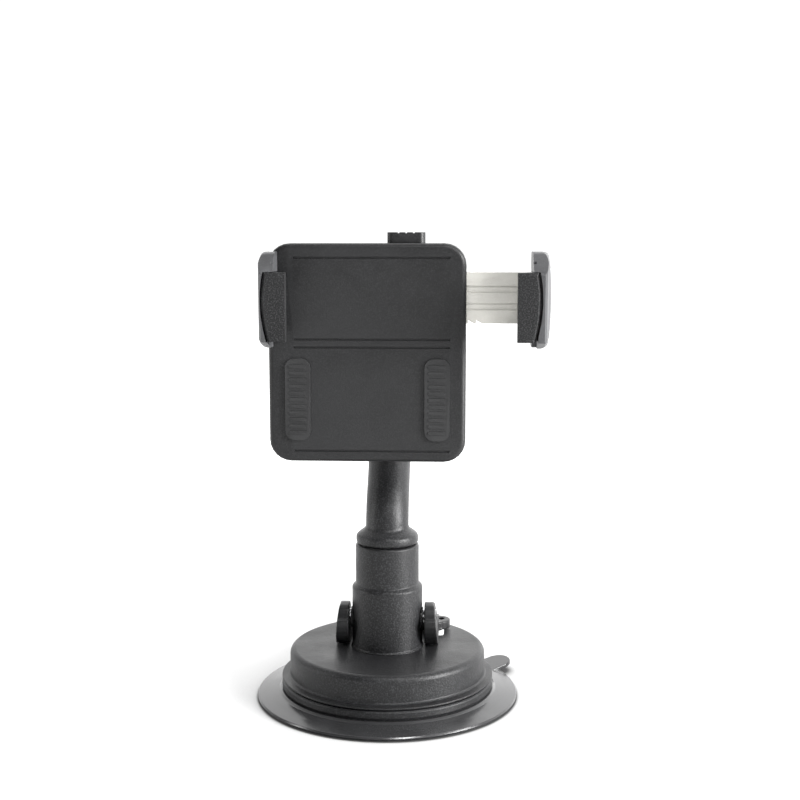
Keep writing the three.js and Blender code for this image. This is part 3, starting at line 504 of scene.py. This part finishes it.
# ------------------------------------------------------------------ suction lever
def ear_outline():
    """The ear's side: a spiral cam below and in front, a ridge, a rounded top, and the arm behind it."""
    reach = PIN_Z - HOUSING_TOP - 0.15
    slope = -STEM_DROP / math.radians(LEVER_OPEN)
    points = []
    for step in range(25):
        a = math.radians(LEVER_OPEN * step / 24)
        h = reach + slope * a
        points.append((-h * math.sin(a) - slope * math.cos(a), PIN_Z - h * math.cos(a) + slope * math.sin(a)))
    radii = [2, 2, 0.25, 0.4, 1.5, 2, 2, 2, 2, 2, 2]
    front = [(y, z, radius) for (y, z), radius in zip(EAR_FRONT, radii)]
    back = [
        (7.5, PIN_Z - 0.6, 3), (11, 22, 4), (YOKE_BACK, YOKE_TOP, 0), (YOKE_BACK, YOKE_BOTTOM, 0), (7, 17.4, 2),
    ]
    return points + rounded([(*points[-1], 0), *front, *back, (2.1, 17, 0)])[1:-1]


def ear():
    """The right ear: its side outline, its flared front outline and a rounded outer corner on top."""
    plate = prism("lever_ear", ear_outline(), EAR_INNER, EAR_OUTER + 1, "X")
    front = rounded([
        (EAR_INNER - 1, 5, 0), (EAR_OUTER + 0.9, 5, 0), (EAR_OUTER + 0.7, HOUSING_TOP, 0.5),
        (EAR_OUTER - 0.1, PIN_Z, 2), (EAR_OUTER - 0.7, PIN_Z + 4.35, 1.3), (EAR_INNER - 1, PIN_Z + 4.35, 0),
    ], closed=True)
    return common(plate, prism("ear_front", front, -20, 60, "Y"))


def melt(piece, voxel, passes):
    """Remeshes a piece evenly and lets its edges relax, like a moulding's."""
    change = piece.modifiers.new("melt", "REMESH")
    change.mode = "VOXEL"
    change.voxel_size = voxel * MM
    relax = piece.modifiers.new("relax", "SMOOTH")
    relax.factor = 0.5
    relax.iterations = passes
    bake(piece)
    return piece


def suction_lever():
    lever, other = ear(), ear()
    lever.name = "lever_skin"
    flip(other, 0)
    yoke_plan = rectangle(-EAR_OUTER, YOKE_RIGHT, YOKE_FRONT, YOKE_BACK, 1.5)
    yoke = prism("lever_yoke", yoke_plan, YOKE_BOTTOM, YOKE_TOP, "Z")
    lug = rod("lever_lug", "Z", LUG_RADIUS, YOKE_BOTTOM, YOKE_TOP, LUG_X, LUG_Y)
    side = rounded([
        (18, YOKE_BOTTOM, 0), (25, 17.2, 3), (32, 13.4, 6), (TAIL_END, 11.2, 0.5), (TAIL_END + 0.6, 12.6, 0.6),
        (TAIL_END, 14, 0.5), (33, 16.4, 5), (26, 19.8, 3), (18, YOKE_TOP, 0),
    ], closed=True)
    tail = prism("lever_tail", side, -TAIL_HALF, TAIL_HALF, "X")
    common(tail, prism("lever_plan", rectangle(-TAIL_HALF, TAIL_HALF, 10, TAIL_END + 0.6, 7), 5, 30, "Z"))
    bars = []
    for k in range(4):
        y = 33.5 + 2.2 * k
        z = 16.3 - (y - 33) * 0.24
        bars.append(prism("lever_bar", rectangle(y - 0.5, y + 0.5, z - 1, z + 0.55, 0.3), -10, 10, "X"))
    web = prism("lever_web", [(15.5, 18), (YOKE_RIGHT, 18), (15.5, 16.95)], YOKE_FRONT, YOKE_FRONT + 2.5, "Y")
    join(lever, other, yoke, lug, web, tail, *bars)
    cut(lever, rod("lug_hole", "Z", 1.3, 15, 23, 17.7, 18.8))
    melt(lever, 0.22, 6)
    cut(lever, rod("lever_bore", "X", 2.2, -20, 20, 0, PIN_Z))
    done(smooth(lever, 50), "lever", LEVER, ["suction_lever"])


# ------------------------------------------------------------------ swivel arm
def bezier(points, t):
    a, b, c, d = (Vector(p) for p in points)
    return a * (1 - t) ** 3 + b * 3 * t * (1 - t) ** 2 + c * 3 * t * t * (1 - t) + d * t ** 3


def arm_route():
    bend = [(0, NECK_TOP + 5.2), (0, 69), (ARM_OFFSET, 73), (ARM_OFFSET, 90)]
    route = [Vector((0, NECK_TOP + 1))]
    route += [bezier(bend, k / 40) for k in range(41)]
    route.append(Vector((ARM_OFFSET, BALL_Z)))
    return route


def sweep(name, route, radius, sides=64):
    """A round bar along a route in the YZ plane."""
    verts, faces = [], []
    for k, spot in enumerate(route):
        way = (route[min(k + 1, len(route) - 1)] - route[max(k - 1, 0)]).normalized()
        across = Vector((-way.y, way.x))
        for s in range(sides):
            angle = 2 * math.pi * s / sides
            out = spot + across * radius * math.sin(angle)
            verts.append((radius * math.cos(angle), out.x, out.y))
    for k in range(len(route) - 1):
        for s in range(sides):
            a, b = k * sides + s, k * sides + (s + 1) % sides
            faces.append((a, b, b + sides, a + sides))
    faces.append(tuple(range(sides)))
    faces.append(tuple(range(len(verts) - 1, len(verts) - 1 - sides, -1)))
    return make_mesh(name, verts, faces)


def support_arm():
    tube = sweep("arm_skin", arm_route(), ARM_RADIUS)
    collar = turned("arm_collar", rounded([
        (0, NECK_TOP + 0.3, 0), (NECK_UPPER_RADIUS - 0.2, NECK_TOP + 0.3, 0.5),
        (NECK_UPPER_RADIUS - 0.2, NECK_TOP + 3.2, 1), (ARM_RADIUS + 0.2, NECK_TOP + 5.4, 2), (0, NECK_TOP + 6, 0),
    ]))
    front = ARM_OFFSET - ARM_RADIUS
    head = turned("arm_head", rounded([
        (0, front, 0), (8.8, front, 1.2), (8.8, front + HEAD_LENGTH, 1.6), (0, front + HEAD_LENGTH, 0),
    ]), axis="Y", centre=(0, 0, BALL_Z))
    join(tube, collar, head)
    melt(tube, 0.45, 12)
    cut(tube, rod("stud_bore", "Y", 2.8, 5, 30, 0, BALL_Z))
    done(smooth(tube, 60), "arm", BASE, ["support_arm"])


def stud_nut():
    back = ARM_OFFSET - ARM_RADIUS + HEAD_LENGTH
    corners = [math.radians(60 * k) for k in range(6)]
    hexagon = [(5.2 * math.cos(a), BALL_Z + 5.2 * math.sin(a)) for a in corners]
    nut = prism("nut_skin", hexagon, back, back + 3.8, "Y")
    crown = turned("nut_crown", rounded([
        (0, back, 0), (4.9, back, 0), (5.4, back + 0.8, 0), (5.4, back + 2.6, 0), (4.6, back + 3.8, 0),
        (0, back + 3.8, 0),
    ]), axis="Y", centre=(0, 0, BALL_Z))
    common(nut, crown)
    cut(nut, rod("nut_bore", "Y", 2.8, 20, 40, 0, BALL_Z))
    soften(nut, 0.15)
    done(smooth(nut), "arm", STEEL, ["stud_nut"])


def ball_stud():
    collar = ARM_OFFSET - ARM_RADIUS - BALL_Y
    end = collar + HEAD_LENGTH + 5
    profile = []
    for step in range(61):
        angle = math.radians(180 - 152 * step / 60)
        profile.append((BALL_RADIUS * math.sin(angle), BALL_RADIUS * math.cos(angle)))
    profile[0] = (0, -BALL_RADIUS)
    profile += rounded([
        (3.5, 6.6, 0), (3.5, collar - 1.7, 0.6), (5, collar - 1.6, 0.3), (5, collar, 0.2), (2.5, collar, 0),
    ])[1:]
    pitch = 0.8
    height = collar + 0.2
    while height < end - 0.8:
        profile += [(2.5, height), (2.5, height + pitch * 0.2), (2.15, height + pitch * 0.6)]
        height += pitch
    profile += [(2.5, end - 0.5), (2, end), (0, end)]
    stud = turned("stud_skin", profile, axis="Y", centre=(0, BALL_Y, BALL_Z), sides=96)
    done(smooth(stud), "arm", POLISHED, ["ball_stud"])


# ------------------------------------------------------------------ ball joint
def ball_socket():
    sphere = []
    for step in range(25):
        angle = math.radians(90 + 90 * step / 24)
        sphere.append(Vector((SOCKET_SPHERE * math.sin(angle), SOCKET_SPHERE * math.cos(angle) + BALL_Y)))
    sphere[-1].x = 0
    outside = rounded([
        (0, -12, 0), (SOCKET_RADIUS, -12, 0.8), (SOCKET_RADIUS, -10.3, 0), (16.5, -10.3, 0.3), (16.5, -8.3, 0.3),
        (SOCKET_RADIUS, -8.3, 0), (SOCKET_RADIUS, 0, 0.5), (SOCKET_SPHERE + 0.1, 0, 0),
    ])
    socket = turned("socket_skin", outside + sphere, axis="Y", centre=(0, 0, BALL_Z))
    done(smooth(socket), "socket", BASE, ["ball_socket"])


def lock_ring():
    lip = []
    for step in range(9):
        angle = math.radians(52 + 28 * step / 8)
        lip.append(Vector((SOCKET_SPHERE * math.sin(angle), SOCKET_SPHERE * math.cos(angle))))
    r = LOCK_RING_RADIUS
    outside = rounded([
        (SOCKET_RADIUS + 0.3, -4.5, 0), (r, -4.5, 0.8), (r, 3.4, 1.4), (11.4, 6.2, 1), (lip[0].x, 6.2, 0),
    ])
    rest = [Vector((lip[-1].x, 1.3)), Vector((SOCKET_RADIUS + 0.3, 1.3))]
    profile = outside[:-1] + [Vector((lip[0].x + 0.1, 6.2))] + lip + rest
    ring = turned("lock_ring_skin", profile, axis="Y", centre=(0, BALL_Y, BALL_Z), closed=True)
    flutes = []
    for k in range(12):
        angle = math.radians(30 * k)
        spot = (r + 1.2) * math.cos(angle), BALL_Z + (r + 1.2) * math.sin(angle)
        flutes.append(rod("flute", "Y", 2.2, -10, 10, *spot, sides=32))
    cut(ring, *flutes)
    soften(ring, 0.3, angle=40)
    done(smooth(ring), "ring", BASE, ["lock_ring"])


# ------------------------------------------------------------------ cradle
def body_outline(inset):
    return rectangle(
        BODY_LEFT + inset, BODY_RIGHT - inset, BODY_BOTTOM + inset, BODY_TOP - inset, BODY_CORNER - inset,
    )


def body_block(name, low, high, rounded_end):
    """The cradle's outline between two Y stations, with one end's edge rounded."""
    piece = prism(name, body_outline(0), low, high, "Y")
    bm = bmesh.new()
    bm.from_mesh(piece.data)
    rim = [e for e in bm.edges if all(abs(v.co.y - rounded_end * MM) < 1e-6 for v in e.verts)]
    bmesh.ops.bevel(bm, geom=rim, offset=1.6 * MM, segments=6, profile=0.5, affect="EDGES")
    bm.to_mesh(piece.data)
    bm.free()
    return piece


def button_opening():
    return prism("button_opening", rectangle(BUTTON_X - 6.4, BUTTON_X + 6.4, -16.4, -10.2, 2), 147, 160, "Z")


def slot_tool(x0, x1):
    return block("rail_slot", x0, x1, RAIL_FRONT - 0.3, RAIL_BACK + 0.3, RAIL_BOTTOM - 0.3, RAIL_TOP + 0.3)


def cradle_front():
    shell = body_block("front_shell_skin", FRONT_FACE, FRONT_SEAM, FRONT_FACE)
    inside = prism("front_inside", body_outline(SHELL), FRONT_FACE + SHELL, FRONT_SEAM + 1, "Y")
    grooves = []
    for z in (86.6, 119.5, 122, 147.5):
        grooves.append(prism(
            "face_groove", rectangle(BODY_LEFT + 8, BODY_RIGHT - 5, z - 0.35, z + 0.35, 0.3),
            FRONT_FACE - 1, FRONT_FACE + 0.5, "Y",
        ))
    cut(shell, inside, slot_tool(22, 27), slot_tool(-38, -32), button_opening(), *grooves)
    soften(shell, 0.3)
    done(smooth(shell), "cradle", CRADLE, ["cradle_front_shell"])


def cradle_back():
    shell = body_block("back_shell_skin", BACK_SEAM, BACK_FACE, BACK_FACE)
    inside = prism("back_inside", body_outline(SHELL), BACK_SEAM - 1, BACK_FACE - SHELL, "Y")
    hole = rod("socket_hole", "Y", SOCKET_RADIUS + 0.4, -20, 0, 0, BALL_Z, sides=ROUND)
    wells = [rod("screw_well", "Y", 2.6, BACK_FACE - 1.8, 0, x, z) for x, z in SHELL_SCREWS]
    circle = turned("back_groove", [(18.4, BACK_FACE - 0.5), (19.2, BACK_FACE - 0.5), (19.2, 1), (18.4, 1)],
                    axis="Y", centre=(0, 0, BALL_Z), closed=True)
    frame_outer = prism("border_outer", body_outline(3.2), BACK_FACE - 0.45, 0, "Y")
    frame_inner = prism("border_inner", body_outline(3.9), BACK_FACE - 1, 1, "Y")
    cut(frame_outer, frame_inner)
    ribs = []
    for k in range(5):
        z = 88 + 2.4 * k
        ribs.append(prism("back_rib", rectangle(-18, 8, z - 0.5, z + 0.5, 0.5), BACK_FACE - 0.5, 0, "Y"))
    cut(shell, inside, hole, *wells, circle, frame_outer, *ribs, button_opening())
    soften(shell, 0.25)
    done(smooth(shell), "cradle", CRADLE, ["cradle_back_shell"])


def cross_screw(name, x, z, top, radius, height, body, node):
    """A pan-head screw seen from behind, with a cross recess; its head ends at `top`."""
    head = turned(name, rounded([
        (0, top - height, 0), (radius, top - height, 0.2), (radius, top, 0.75), (0, top, 0),
    ]), axis="Y", centre=(x, 0, z), sides=SMALL_ROUND)
    arms = [
        prism("recess", rectangle(x - a, x + a, z - b, z + b, 0.12), top - 0.7, top + 1, "Y")
        for a, b in ((radius * 0.6, radius * 0.14), (radius * 0.14, radius * 0.6))
    ]
    cut(head, *arms)
    soften(head, 0.06, steps=2)
    done(smooth(head), body, STEEL, [node])


def grip_strips():
    for node, left, right in (("left_grip_strip", -31, -23), ("right_grip_strip", 13, 21)):
        strip = prism(f"{node}_skin", rectangle(left, right, 90, 116, 3), PHONE_BACK + 0.25, FRONT_FACE, "Y")
        ribs = []
        for k in range(11):
            z = 92.5 + 2.1 * k
            ribs.append(prism("grip_rib", rectangle(left + 1.2, right - 1.2, z - 0.55, z + 0.55, 0.5),
                              PHONE_BACK, FRONT_FACE - 0.3, "Y"))
        join(strip, *ribs)
        soften(strip, 0.18)
        done(smooth(strip), "cradle", STRIP, [node])


# ------------------------------------------------------------------ jaws
def jaw_outline(reach, bulge, corner):
    """A jaw's front outline, from the lip's tip to a bowed outer side, `reach` out from the phone."""
    middle, half = (JAW_BOTTOM + JAW_TOP) / 2, (JAW_TOP - JAW_BOTTOM) / 2
    straight = half - max(0.6, 1.3 * corner)
    side = [straight * k / 10 for k in range(-10, 11)]
    bowed = [(PHONE_RIGHT + reach - bulge * (height / half) ** 2, middle + height) for height in side]
    end = PHONE_RIGHT + reach - bulge
    points = [(PHONE_RIGHT - LIP_REACH_RIGHT, JAW_BOTTOM, 0), (end, JAW_BOTTOM, corner)]
    points += [(x, z, 0) for x, z in bowed]
    points += [(end, JAW_TOP, corner), (PHONE_RIGHT - LIP_REACH_RIGHT, JAW_TOP, 0)]
    return rounded(points, closed=True, steps=5)


def hull(name, *pieces):
    """The convex hull of some pieces, which it uses up."""
    verts = [v.co / MM for piece in pieces for v in piece.data.vertices]
    whole = make_mesh(name, verts, [])
    bm = bmesh.new()
    bm.from_mesh(whole.data)
    bmesh.ops.convex_hull(bm, input=bm.verts)
    bmesh.ops.delete(bm, geom=[v for v in bm.verts if not v.link_faces], context="VERTS")
    bmesh.ops.dissolve_limit(bm, angle_limit=math.radians(0.2), verts=bm.verts, edges=bm.edges)
    bmesh.ops.recalc_face_normals(bm, faces=bm.faces)
    bm.to_mesh(whole.data)
    bm.free()
    for piece in pieces:
        bpy.data.objects.remove(piece)
    return whole


def jaw_blank(name, reach, corners, edge):
    """A jaw before it is split, with its (back, front) corner radii; `edge` bevels its front outer edge."""
    outer = PHONE_RIGHT + JAW_OUTER
    piece = hull(
        name,
        prism("jaw_rear", jaw_outline(reach, BULGE_BACK, corners[0]), -22, JAW_BACK, "Y"),
        prism("jaw_fore", jaw_outline(reach, BULGE_FRONT, corners[1]), JAW_FRONT + edge, JAW_FRONT + 1, "Y"),
        prism("jaw_edge", jaw_outline(reach - edge, BULGE_FRONT, corners[1]), JAW_FRONT, JAW_FRONT + 0.1, "Y"),
    )
    side = rounded([
        (JAW_FRONT, LIP_BOTTOM, 0.8), (-26, JAW_BOTTOM, 4), (JAW_BACK, JAW_BOTTOM, 1.5), (JAW_BACK, JAW_TOP, 1.5),
        (-26.5, JAW_TOP, 3), (JAW_FRONT + 0.6, LIP_TOP + 0.1, 0.9), (JAW_FRONT, LIP_TOP - 0.8, 0.6),
    ], closed=True)
    top = rounded([
        (PHONE_RIGHT - 6, JAW_FRONT, 0), (PHONE_RIGHT + FRONT_REACH, JAW_FRONT, 0),
        (PHONE_RIGHT + 4.4, JAW_FRONT + 1.2, 1.2), (outer - 0.9, -27.5, 4), (outer, -23, 4),
        (outer, JAW_BACK, 0.8), (PHONE_RIGHT - 6, JAW_BACK, 0),
    ], closed=True)
    return common(
        piece,
        prism("jaw_side", side, PHONE_RIGHT - 7, outer + 1, "X"),
        prism("jaw_top", top, CUT_LOW, CUT_HIGH, "Z"),
    )


def jaw_arm(name, inner, rear_inner):
    """The plastic arm: beside the soft facing as high as the lip, up to the phone's side above it."""
    side = PHONE_RIGHT
    ledge = LIP_TOP + 0.2
    lip_space = prism("lip_space", jaw_outline(inner, BULGE_FRONT, 0), JAW_FRONT - 1, PHONE_FRONT + 0.3, "Y")
    common(lip_space, block("below_ledge", side - 10, side + 9, JAW_FRONT - 2, JAW_BACK, CUT_LOW, ledge))
    return cut(
        jaw_blank(name, JAW_OUTER, (CORNER_BACK, CORNER_FRONT), 0.3),
        lip_space,
        block(
            "facing_space", side - 10, side + FACING_WALL + 0.3,
            JAW_FRONT - 1, PHONE_BACK + 0.2, CUT_LOW, ledge,
        ),
        block("phone_side", side - 10, side + 0.15, JAW_FRONT - 1, PHONE_BACK + 0.2, CUT_LOW, CUT_HIGH),
        block("nick", side - 1, side + 1, JAW_FRONT - 1, -29.5, 145.8, 146.6),
        block("rear_space", side - 10, rear_inner, PHONE_BACK, JAW_BACK + 1, CUT_LOW, CUT_HIGH),
    )


def jaw_facing(name, lip_reach, outer):
    side = PHONE_RIGHT
    facing = jaw_blank(name, outer, (0, 0), 0.8)
    cut(
        facing,
        block("beyond_lip", side - 10, side - lip_reach, JAW_FRONT - 1, JAW_BACK + 1, CUT_LOW, CUT_HIGH),
        block("phone_space", side - 10, side, PHONE_FRONT, JAW_BACK + 1, CUT_LOW, CUT_HIGH),
        block("arm_space", side + FACING_WALL, side + 9, PHONE_FRONT, JAW_BACK + 1, CUT_LOW, CUT_HIGH),
        block("rear_space", side - 10, side + 9, PHONE_BACK - 0.1, JAW_BACK + 1, CUT_LOW, CUT_HIGH),
        block("above_lip", side - 10, side + 9, JAW_FRONT - 1, JAW_BACK, LIP_TOP, CUT_HIGH),
        block("below_lip", side - 10, side + 9, JAW_FRONT - 1, JAW_BACK, CUT_LOW, LIP_BOTTOM),
    )
    return soften(facing, 0.25)


def jaws():
    left = flip(jaw_arm("left_jaw_skin", ARM_LEFT, 2 * JAW_CENTRE - BODY_LEFT + 0.3), JAW_CENTRE)
    tongue = block("tongue", BODY_LEFT - 1.5, -30, RAIL_FRONT, RAIL_BACK, RAIL_BOTTOM, RAIL_TOP)
    soften(join(left, tongue), 0.4)
    done(smooth(left), "cradle", JAW, ["left_jaw"])
    right = jaw_arm("right_jaw_skin", ARM_RIGHT, PHONE_RIGHT + 0.3)
    pocket = block("rail_pocket", 46, 51, RAIL_FRONT - 0.3, RAIL_BACK + 0.3, RAIL_BOTTOM - 0.3, RAIL_TOP + 0.3)
    wells = [rod("jaw_well", "Y", 1.9, -13.8, -12, x, z) for x, z in JAW_SCREWS]
    soften(cut(right, pocket, *wells), 0.4)
    done(smooth(right), "jaw", JAW, ["right_jaw"])
    left_facing = flip(jaw_facing("left_facing_skin", LIP_REACH_LEFT, FACING_LEFT), JAW_CENTRE)
    done(smooth(left_facing), "cradle", GRIP, ["left_jaw_facing"])
    right_facing = jaw_facing("right_facing_skin", LIP_REACH_RIGHT, FACING_RIGHT)
    done(smooth(right_facing), "jaw", GRIP, ["right_jaw_facing"])


def jaw_rail():
    end = PHONE_RIGHT + 4.6
    rail = block("rail_skin", RAIL_LEFT, end, RAIL_FRONT, RAIL_BACK, RAIL_BOTTOM, RAIL_TOP)
    teeth = []
    x = RAIL_LEFT + 4
    while x < 30:
        teeth.append(prism(
            "tooth_gap", [(x, RAIL_BOTTOM - 0.1), (x + 2.1, RAIL_BOTTOM - 0.1), (x, RAIL_BOTTOM + 1.1)],
            RAIL_FRONT - 1, RAIL_BACK + 1, "Y",
        ))
        x += 2.5
    channels = [
        prism(
            "channel", rectangle(RAIL_LEFT + 3, 43, z - 1.1, z + 1.1, 1.1),
            RAIL_FRONT - 1, RAIL_FRONT + 0.5, "Y",
        )
        for z in (132.3, 137.7)
    ]
    cut(rail, *teeth, *channels)
    soften(rail, 0.15, steps=2)
    done(smooth(rail), "jaw", NYLON, ["jaw_rail"])


def release_button():
    outline = rectangle(BUTTON_X - 6, BUTTON_X + 6, -16, -10.6, 2)
    cap = prism("button_skin", outline, BODY_TOP - 2.2, BODY_TOP + 3.4, "Z")
    slot = block("pawl_slot", BUTTON_X - 4.8, BUTTON_X + 4.8, -15.4, -13.4, BODY_TOP - 3, BODY_TOP - 0.7)
    bars = [
        block("button_bar", x - 0.3, x + 0.3, -17, -10, BODY_TOP + 3.1, BODY_TOP + 4)
        for x in (BUTTON_X - 2.4, BUTTON_X, BUTTON_X + 2.4)
    ]
    cut(cap, slot, *bars)
    soften(cap, 0.4)
    done(smooth(cap), "button", LEVER, ["release_button"])


# ------------------------------------------------------------------ parts that flex
def cup_hub():
    """The rubber hub under the stem's plate, which the plate presses down when the base is released."""
    waist = HUB_RADIUS - 1.4
    hub = turned("hub_skin", rounded([
        (0, CUP_TOP, 0), (HUB_RADIUS, CUP_TOP, 0.2), (waist, (CUP_TOP + HUB_TOP) / 2, 1.2),
        (HUB_RADIUS, HUB_TOP, 0.2), (0, HUB_TOP, 0),
    ]))
    done(smooth(hub), "base", CUP, ["cup_hub"])
    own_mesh(hub)


def button_spring():
    """The spring under the pawl, wound from round wire with a flat-lying end coil."""
    bottom, top, radius, wire = BUTTON_SPRING_FOOT, PAWL_BOTTOM, 1.5, 0.3
    turns, steps, sides = 4, 40, 12
    verts, faces = [], []
    count = turns * steps
    for k in range(count + 1):
        angle = 2 * math.pi * k / steps
        share = min(1, max(0, (k - steps / 2) / (count - steps)))
        height = bottom + wire + (top - bottom - 2 * wire) * share
        for s in range(sides):
            out = radius + wire * math.cos(2 * math.pi * s / sides)
            up = height + wire * math.sin(2 * math.pi * s / sides)
            verts.append((BUTTON_X + out * math.cos(angle), BUTTON_SPRING_Y + out * math.sin(angle), up))
    for k in range(count):
        for s in range(sides):
            a, b = k * sides + s, k * sides + (s + 1) % sides
            faces.append((a, b, b + sides, a + sides))
    faces.append(tuple(range(sides)))
    faces.append(tuple(range(len(verts) - 1, len(verts) - 1 - sides, -1)))
    spring = smooth(make_mesh("button_spring_skin", verts, faces))
    done(spring, "cradle", STEEL, ["button_spring"])
    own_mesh(spring)


cup_hub()
button_spring()
suction_cup()
base_ring()
base_housing()
neck_post()
suction_lever()
support_arm()
stud_nut()
ball_stud()
ball_socket()
lock_ring()
cradle_front()
cradle_back()
for number, (x, z) in enumerate(SHELL_SCREWS, 1):
    cross_screw(f"shell_screw_skin_{number}", x, z, -6.3, 2.1, 1.4, "cradle", f"shell_screw_{number}")
for number, (x, z) in enumerate(JAW_SCREWS, 1):
    cross_screw(f"jaw_screw_skin_{number}", x, z, -12.6, 1.6, 1.1, "jaw", f"right_jaw_screw_{number}")
grip_strips()
jaws()
jaw_rail()
release_button()

# ------------------------------------------------------------------ carried-over CAD nodes
CARRIED = {
    "gel": GEL, "cup_rubber": CUP, "nylon": NYLON, "steel": STEEL, "base_plastic": BASE,
    "lever_plastic": LEVER, "cradle_plastic": CRADLE, "jaw_plastic": JAW, "grip_rubber": GRIP,
}
slots = {part["node"]: part["material_slot"] for part in frame["record"]["subparts"]}
for node, piece in frame["nodes"].items():
    for slot in piece.material_slots:
        slot.material = CARRIED[slots[node]]


# ------------------------------------------------------------------ floor, light and camera
def stage():
    floor = block("floor", -6000, 6000, -6000, 6000, -1, 0)
    look = Look("floor_paper", (0.5, 0.5, 0.5), 0.7, specular=0.05)
    # The floor's colour and its glow are darkened by ambient occlusion beside the object: a painted contact
    # shadow.
    hollow = look.node("ShaderNodeAmbientOcclusion", samples=16)
    hollow.inputs["Distance"].default_value = 0.035
    painted_contact_shadow = look.scaled(hollow.outputs["AO"], 0.1, 1, 0.45, 0.98)
    tone = look.mix(look.scaled(look.noise(300, 2), 0, 1), (0.49, 0.49, 0.49), (0.51, 0.51, 0.51))
    look.link(look.mix(painted_contact_shadow, (0, 0, 0), tone), look.shader.inputs["Base Color"])
    look.shader.inputs["Emission Color"].default_value = (1, 1, 1, 1)
    # The floor glows with painted light of its own: weaker beside the object and in front of it, full far away.
    away = look.node("ShaderNodeVectorMath", operation="LENGTH")
    look.link(look.place, away.inputs[0])
    axes = look.node("ShaderNodeSeparateXYZ")
    look.link(look.place, axes.inputs[0])
    glow = look.node("ShaderNodeMath", operation="MULTIPLY")
    look.link(look.scaled(away.outputs["Value"], GLOW_NEAR, GLOW_FAR, 0.08, 0.4), glow.inputs[0])
    look.link(look.scaled(axes.outputs["Y"], GLOW_FRONT, 1, -0.4, -0.12), glow.inputs[1])
    shaded = look.node("ShaderNodeMath", operation="MULTIPLY")
    look.link(glow.outputs[0], shaded.inputs[0])
    look.link(painted_contact_shadow, shaded.inputs[1])
    look.link(shaded.outputs[0], look.shader.inputs["Emission Strength"])
    floor.data.materials.append(look.material)


def softbox(name, azimuth, height, reach, size, energy):
    """A rectangular lamp `azimuth` degrees to the right of the front, aimed at the object."""
    light = bpy.data.lights.new(name, "AREA")
    light.shape = "RECTANGLE"
    light.size, light.size_y = size
    light.energy = energy
    lamp = bpy.data.objects.new(name, light)
    bpy.context.scene.collection.objects.link(lamp)
    a = math.radians(azimuth)
    lamp.location = (reach * math.sin(a), -reach * math.cos(a), height)
    aim = Vector((0, 0, 0.08)) - lamp.location
    lamp.rotation_euler = aim.to_track_quat("-Z", "Y").to_euler()


def world_sky():
    """White paper to the eye; as a light it is bright behind the object and dim in front."""
    world = bpy.data.worlds.new("studio")
    bpy.context.scene.world = world
    world.use_nodes = True
    tree = world.node_tree
    back = tree.nodes["Background"]
    place = tree.nodes.new("ShaderNodeTexCoord")
    axes = tree.nodes.new("ShaderNodeSeparateXYZ")
    tree.links.new(place.outputs["Generated"], axes.inputs[0])
    ramp = tree.nodes.new("ShaderNodeMapRange")
    ramp.interpolation_type = "SMOOTHSTEP"
    for key, number in (("From Min", -0.2), ("From Max", 0.9), ("To Min", SKY_FRONT), ("To Max", SKY_BACK)):
        ramp.inputs[key].default_value = number
    tree.links.new(axes.outputs["Y"], ramp.inputs["Value"])
    side = tree.nodes.new("ShaderNodeMapRange")
    for key, number in (("From Min", -1), ("From Max", 1), ("To Min", 0.6), ("To Max", 1.4)):
        side.inputs[key].default_value = number
    tree.links.new(axes.outputs["X"], side.inputs["Value"])
    product = tree.nodes.new("ShaderNodeMath")
    product.operation = "MULTIPLY"
    tree.links.new(ramp.outputs["Result"], product.inputs[0])
    tree.links.new(side.outputs["Result"], product.inputs[1])
    tree.links.new(product.outputs[0], back.inputs["Strength"])
    paper = tree.nodes.new("ShaderNodeBackground")
    paper.inputs["Strength"].default_value = 1.1
    rays = tree.nodes.new("ShaderNodeLightPath")
    mixer = tree.nodes.new("ShaderNodeMixShader")
    tree.links.new(rays.outputs["Is Camera Ray"], mixer.inputs["Fac"])
    tree.links.new(back.outputs[0], mixer.inputs[1])
    tree.links.new(paper.outputs[0], mixer.inputs[2])
    tree.links.new(mixer.outputs[0], tree.nodes["World Output"].inputs["Surface"])
    for shade in (back, paper):
        shade.inputs["Color"].default_value = (1, 1, 1, 1)


GLOW_NEAR, GLOW_FAR = 0.35, 1.0     # the floor's own light beside the object and far from it
GLOW_FRONT = 0.85                   # share of it that is left well in front of the object
SKY_FRONT, SKY_BACK = 0.05, 2.2


def lights():
    world_sky()
    softbox("key", 69, 0.45, 1.3, (0.6, 0.9), 56)
    softbox("fill", -84, 0.45, 1.3, (0.3, 0.9), 6)
    softbox("top", 170, 1.2, 0.5, (1.0, 0.8), 4)
    softbox("glint", 22, 1.0, 0.8, (0.3, 0.18), 8)


FOCAL = 56.9475               # mm, for a 36 mm wide frame
AZIMUTH = 3.5                 # degrees to the right of straight ahead
DISTANCE = 415.7              # mm from the base's axis
HEIGHT = 153.7                # mm above the floor
PITCH = 7.31                  # degrees down
AIM_RIGHT = 0.589             # degrees to the right of the base's axis


def camera():
    data = bpy.data.cameras.new("camera")
    data.lens = FOCAL
    data.sensor_width = 36
    data.clip_start = 0.02
    lens = bpy.data.objects.new("camera", data)
    bpy.context.scene.collection.objects.link(lens)
    a = math.radians(AZIMUTH)
    lens.location = Vector((DISTANCE * math.sin(a), -DISTANCE * math.cos(a), HEIGHT)) * MM
    lens.rotation_euler = (math.radians(90 - PITCH), 0, math.radians(AZIMUTH - AIM_RIGHT))
    bpy.context.scene.camera = lens


stage()
lights()
camera()
bpy.context.scene.view_settings.view_transform = "Standard"
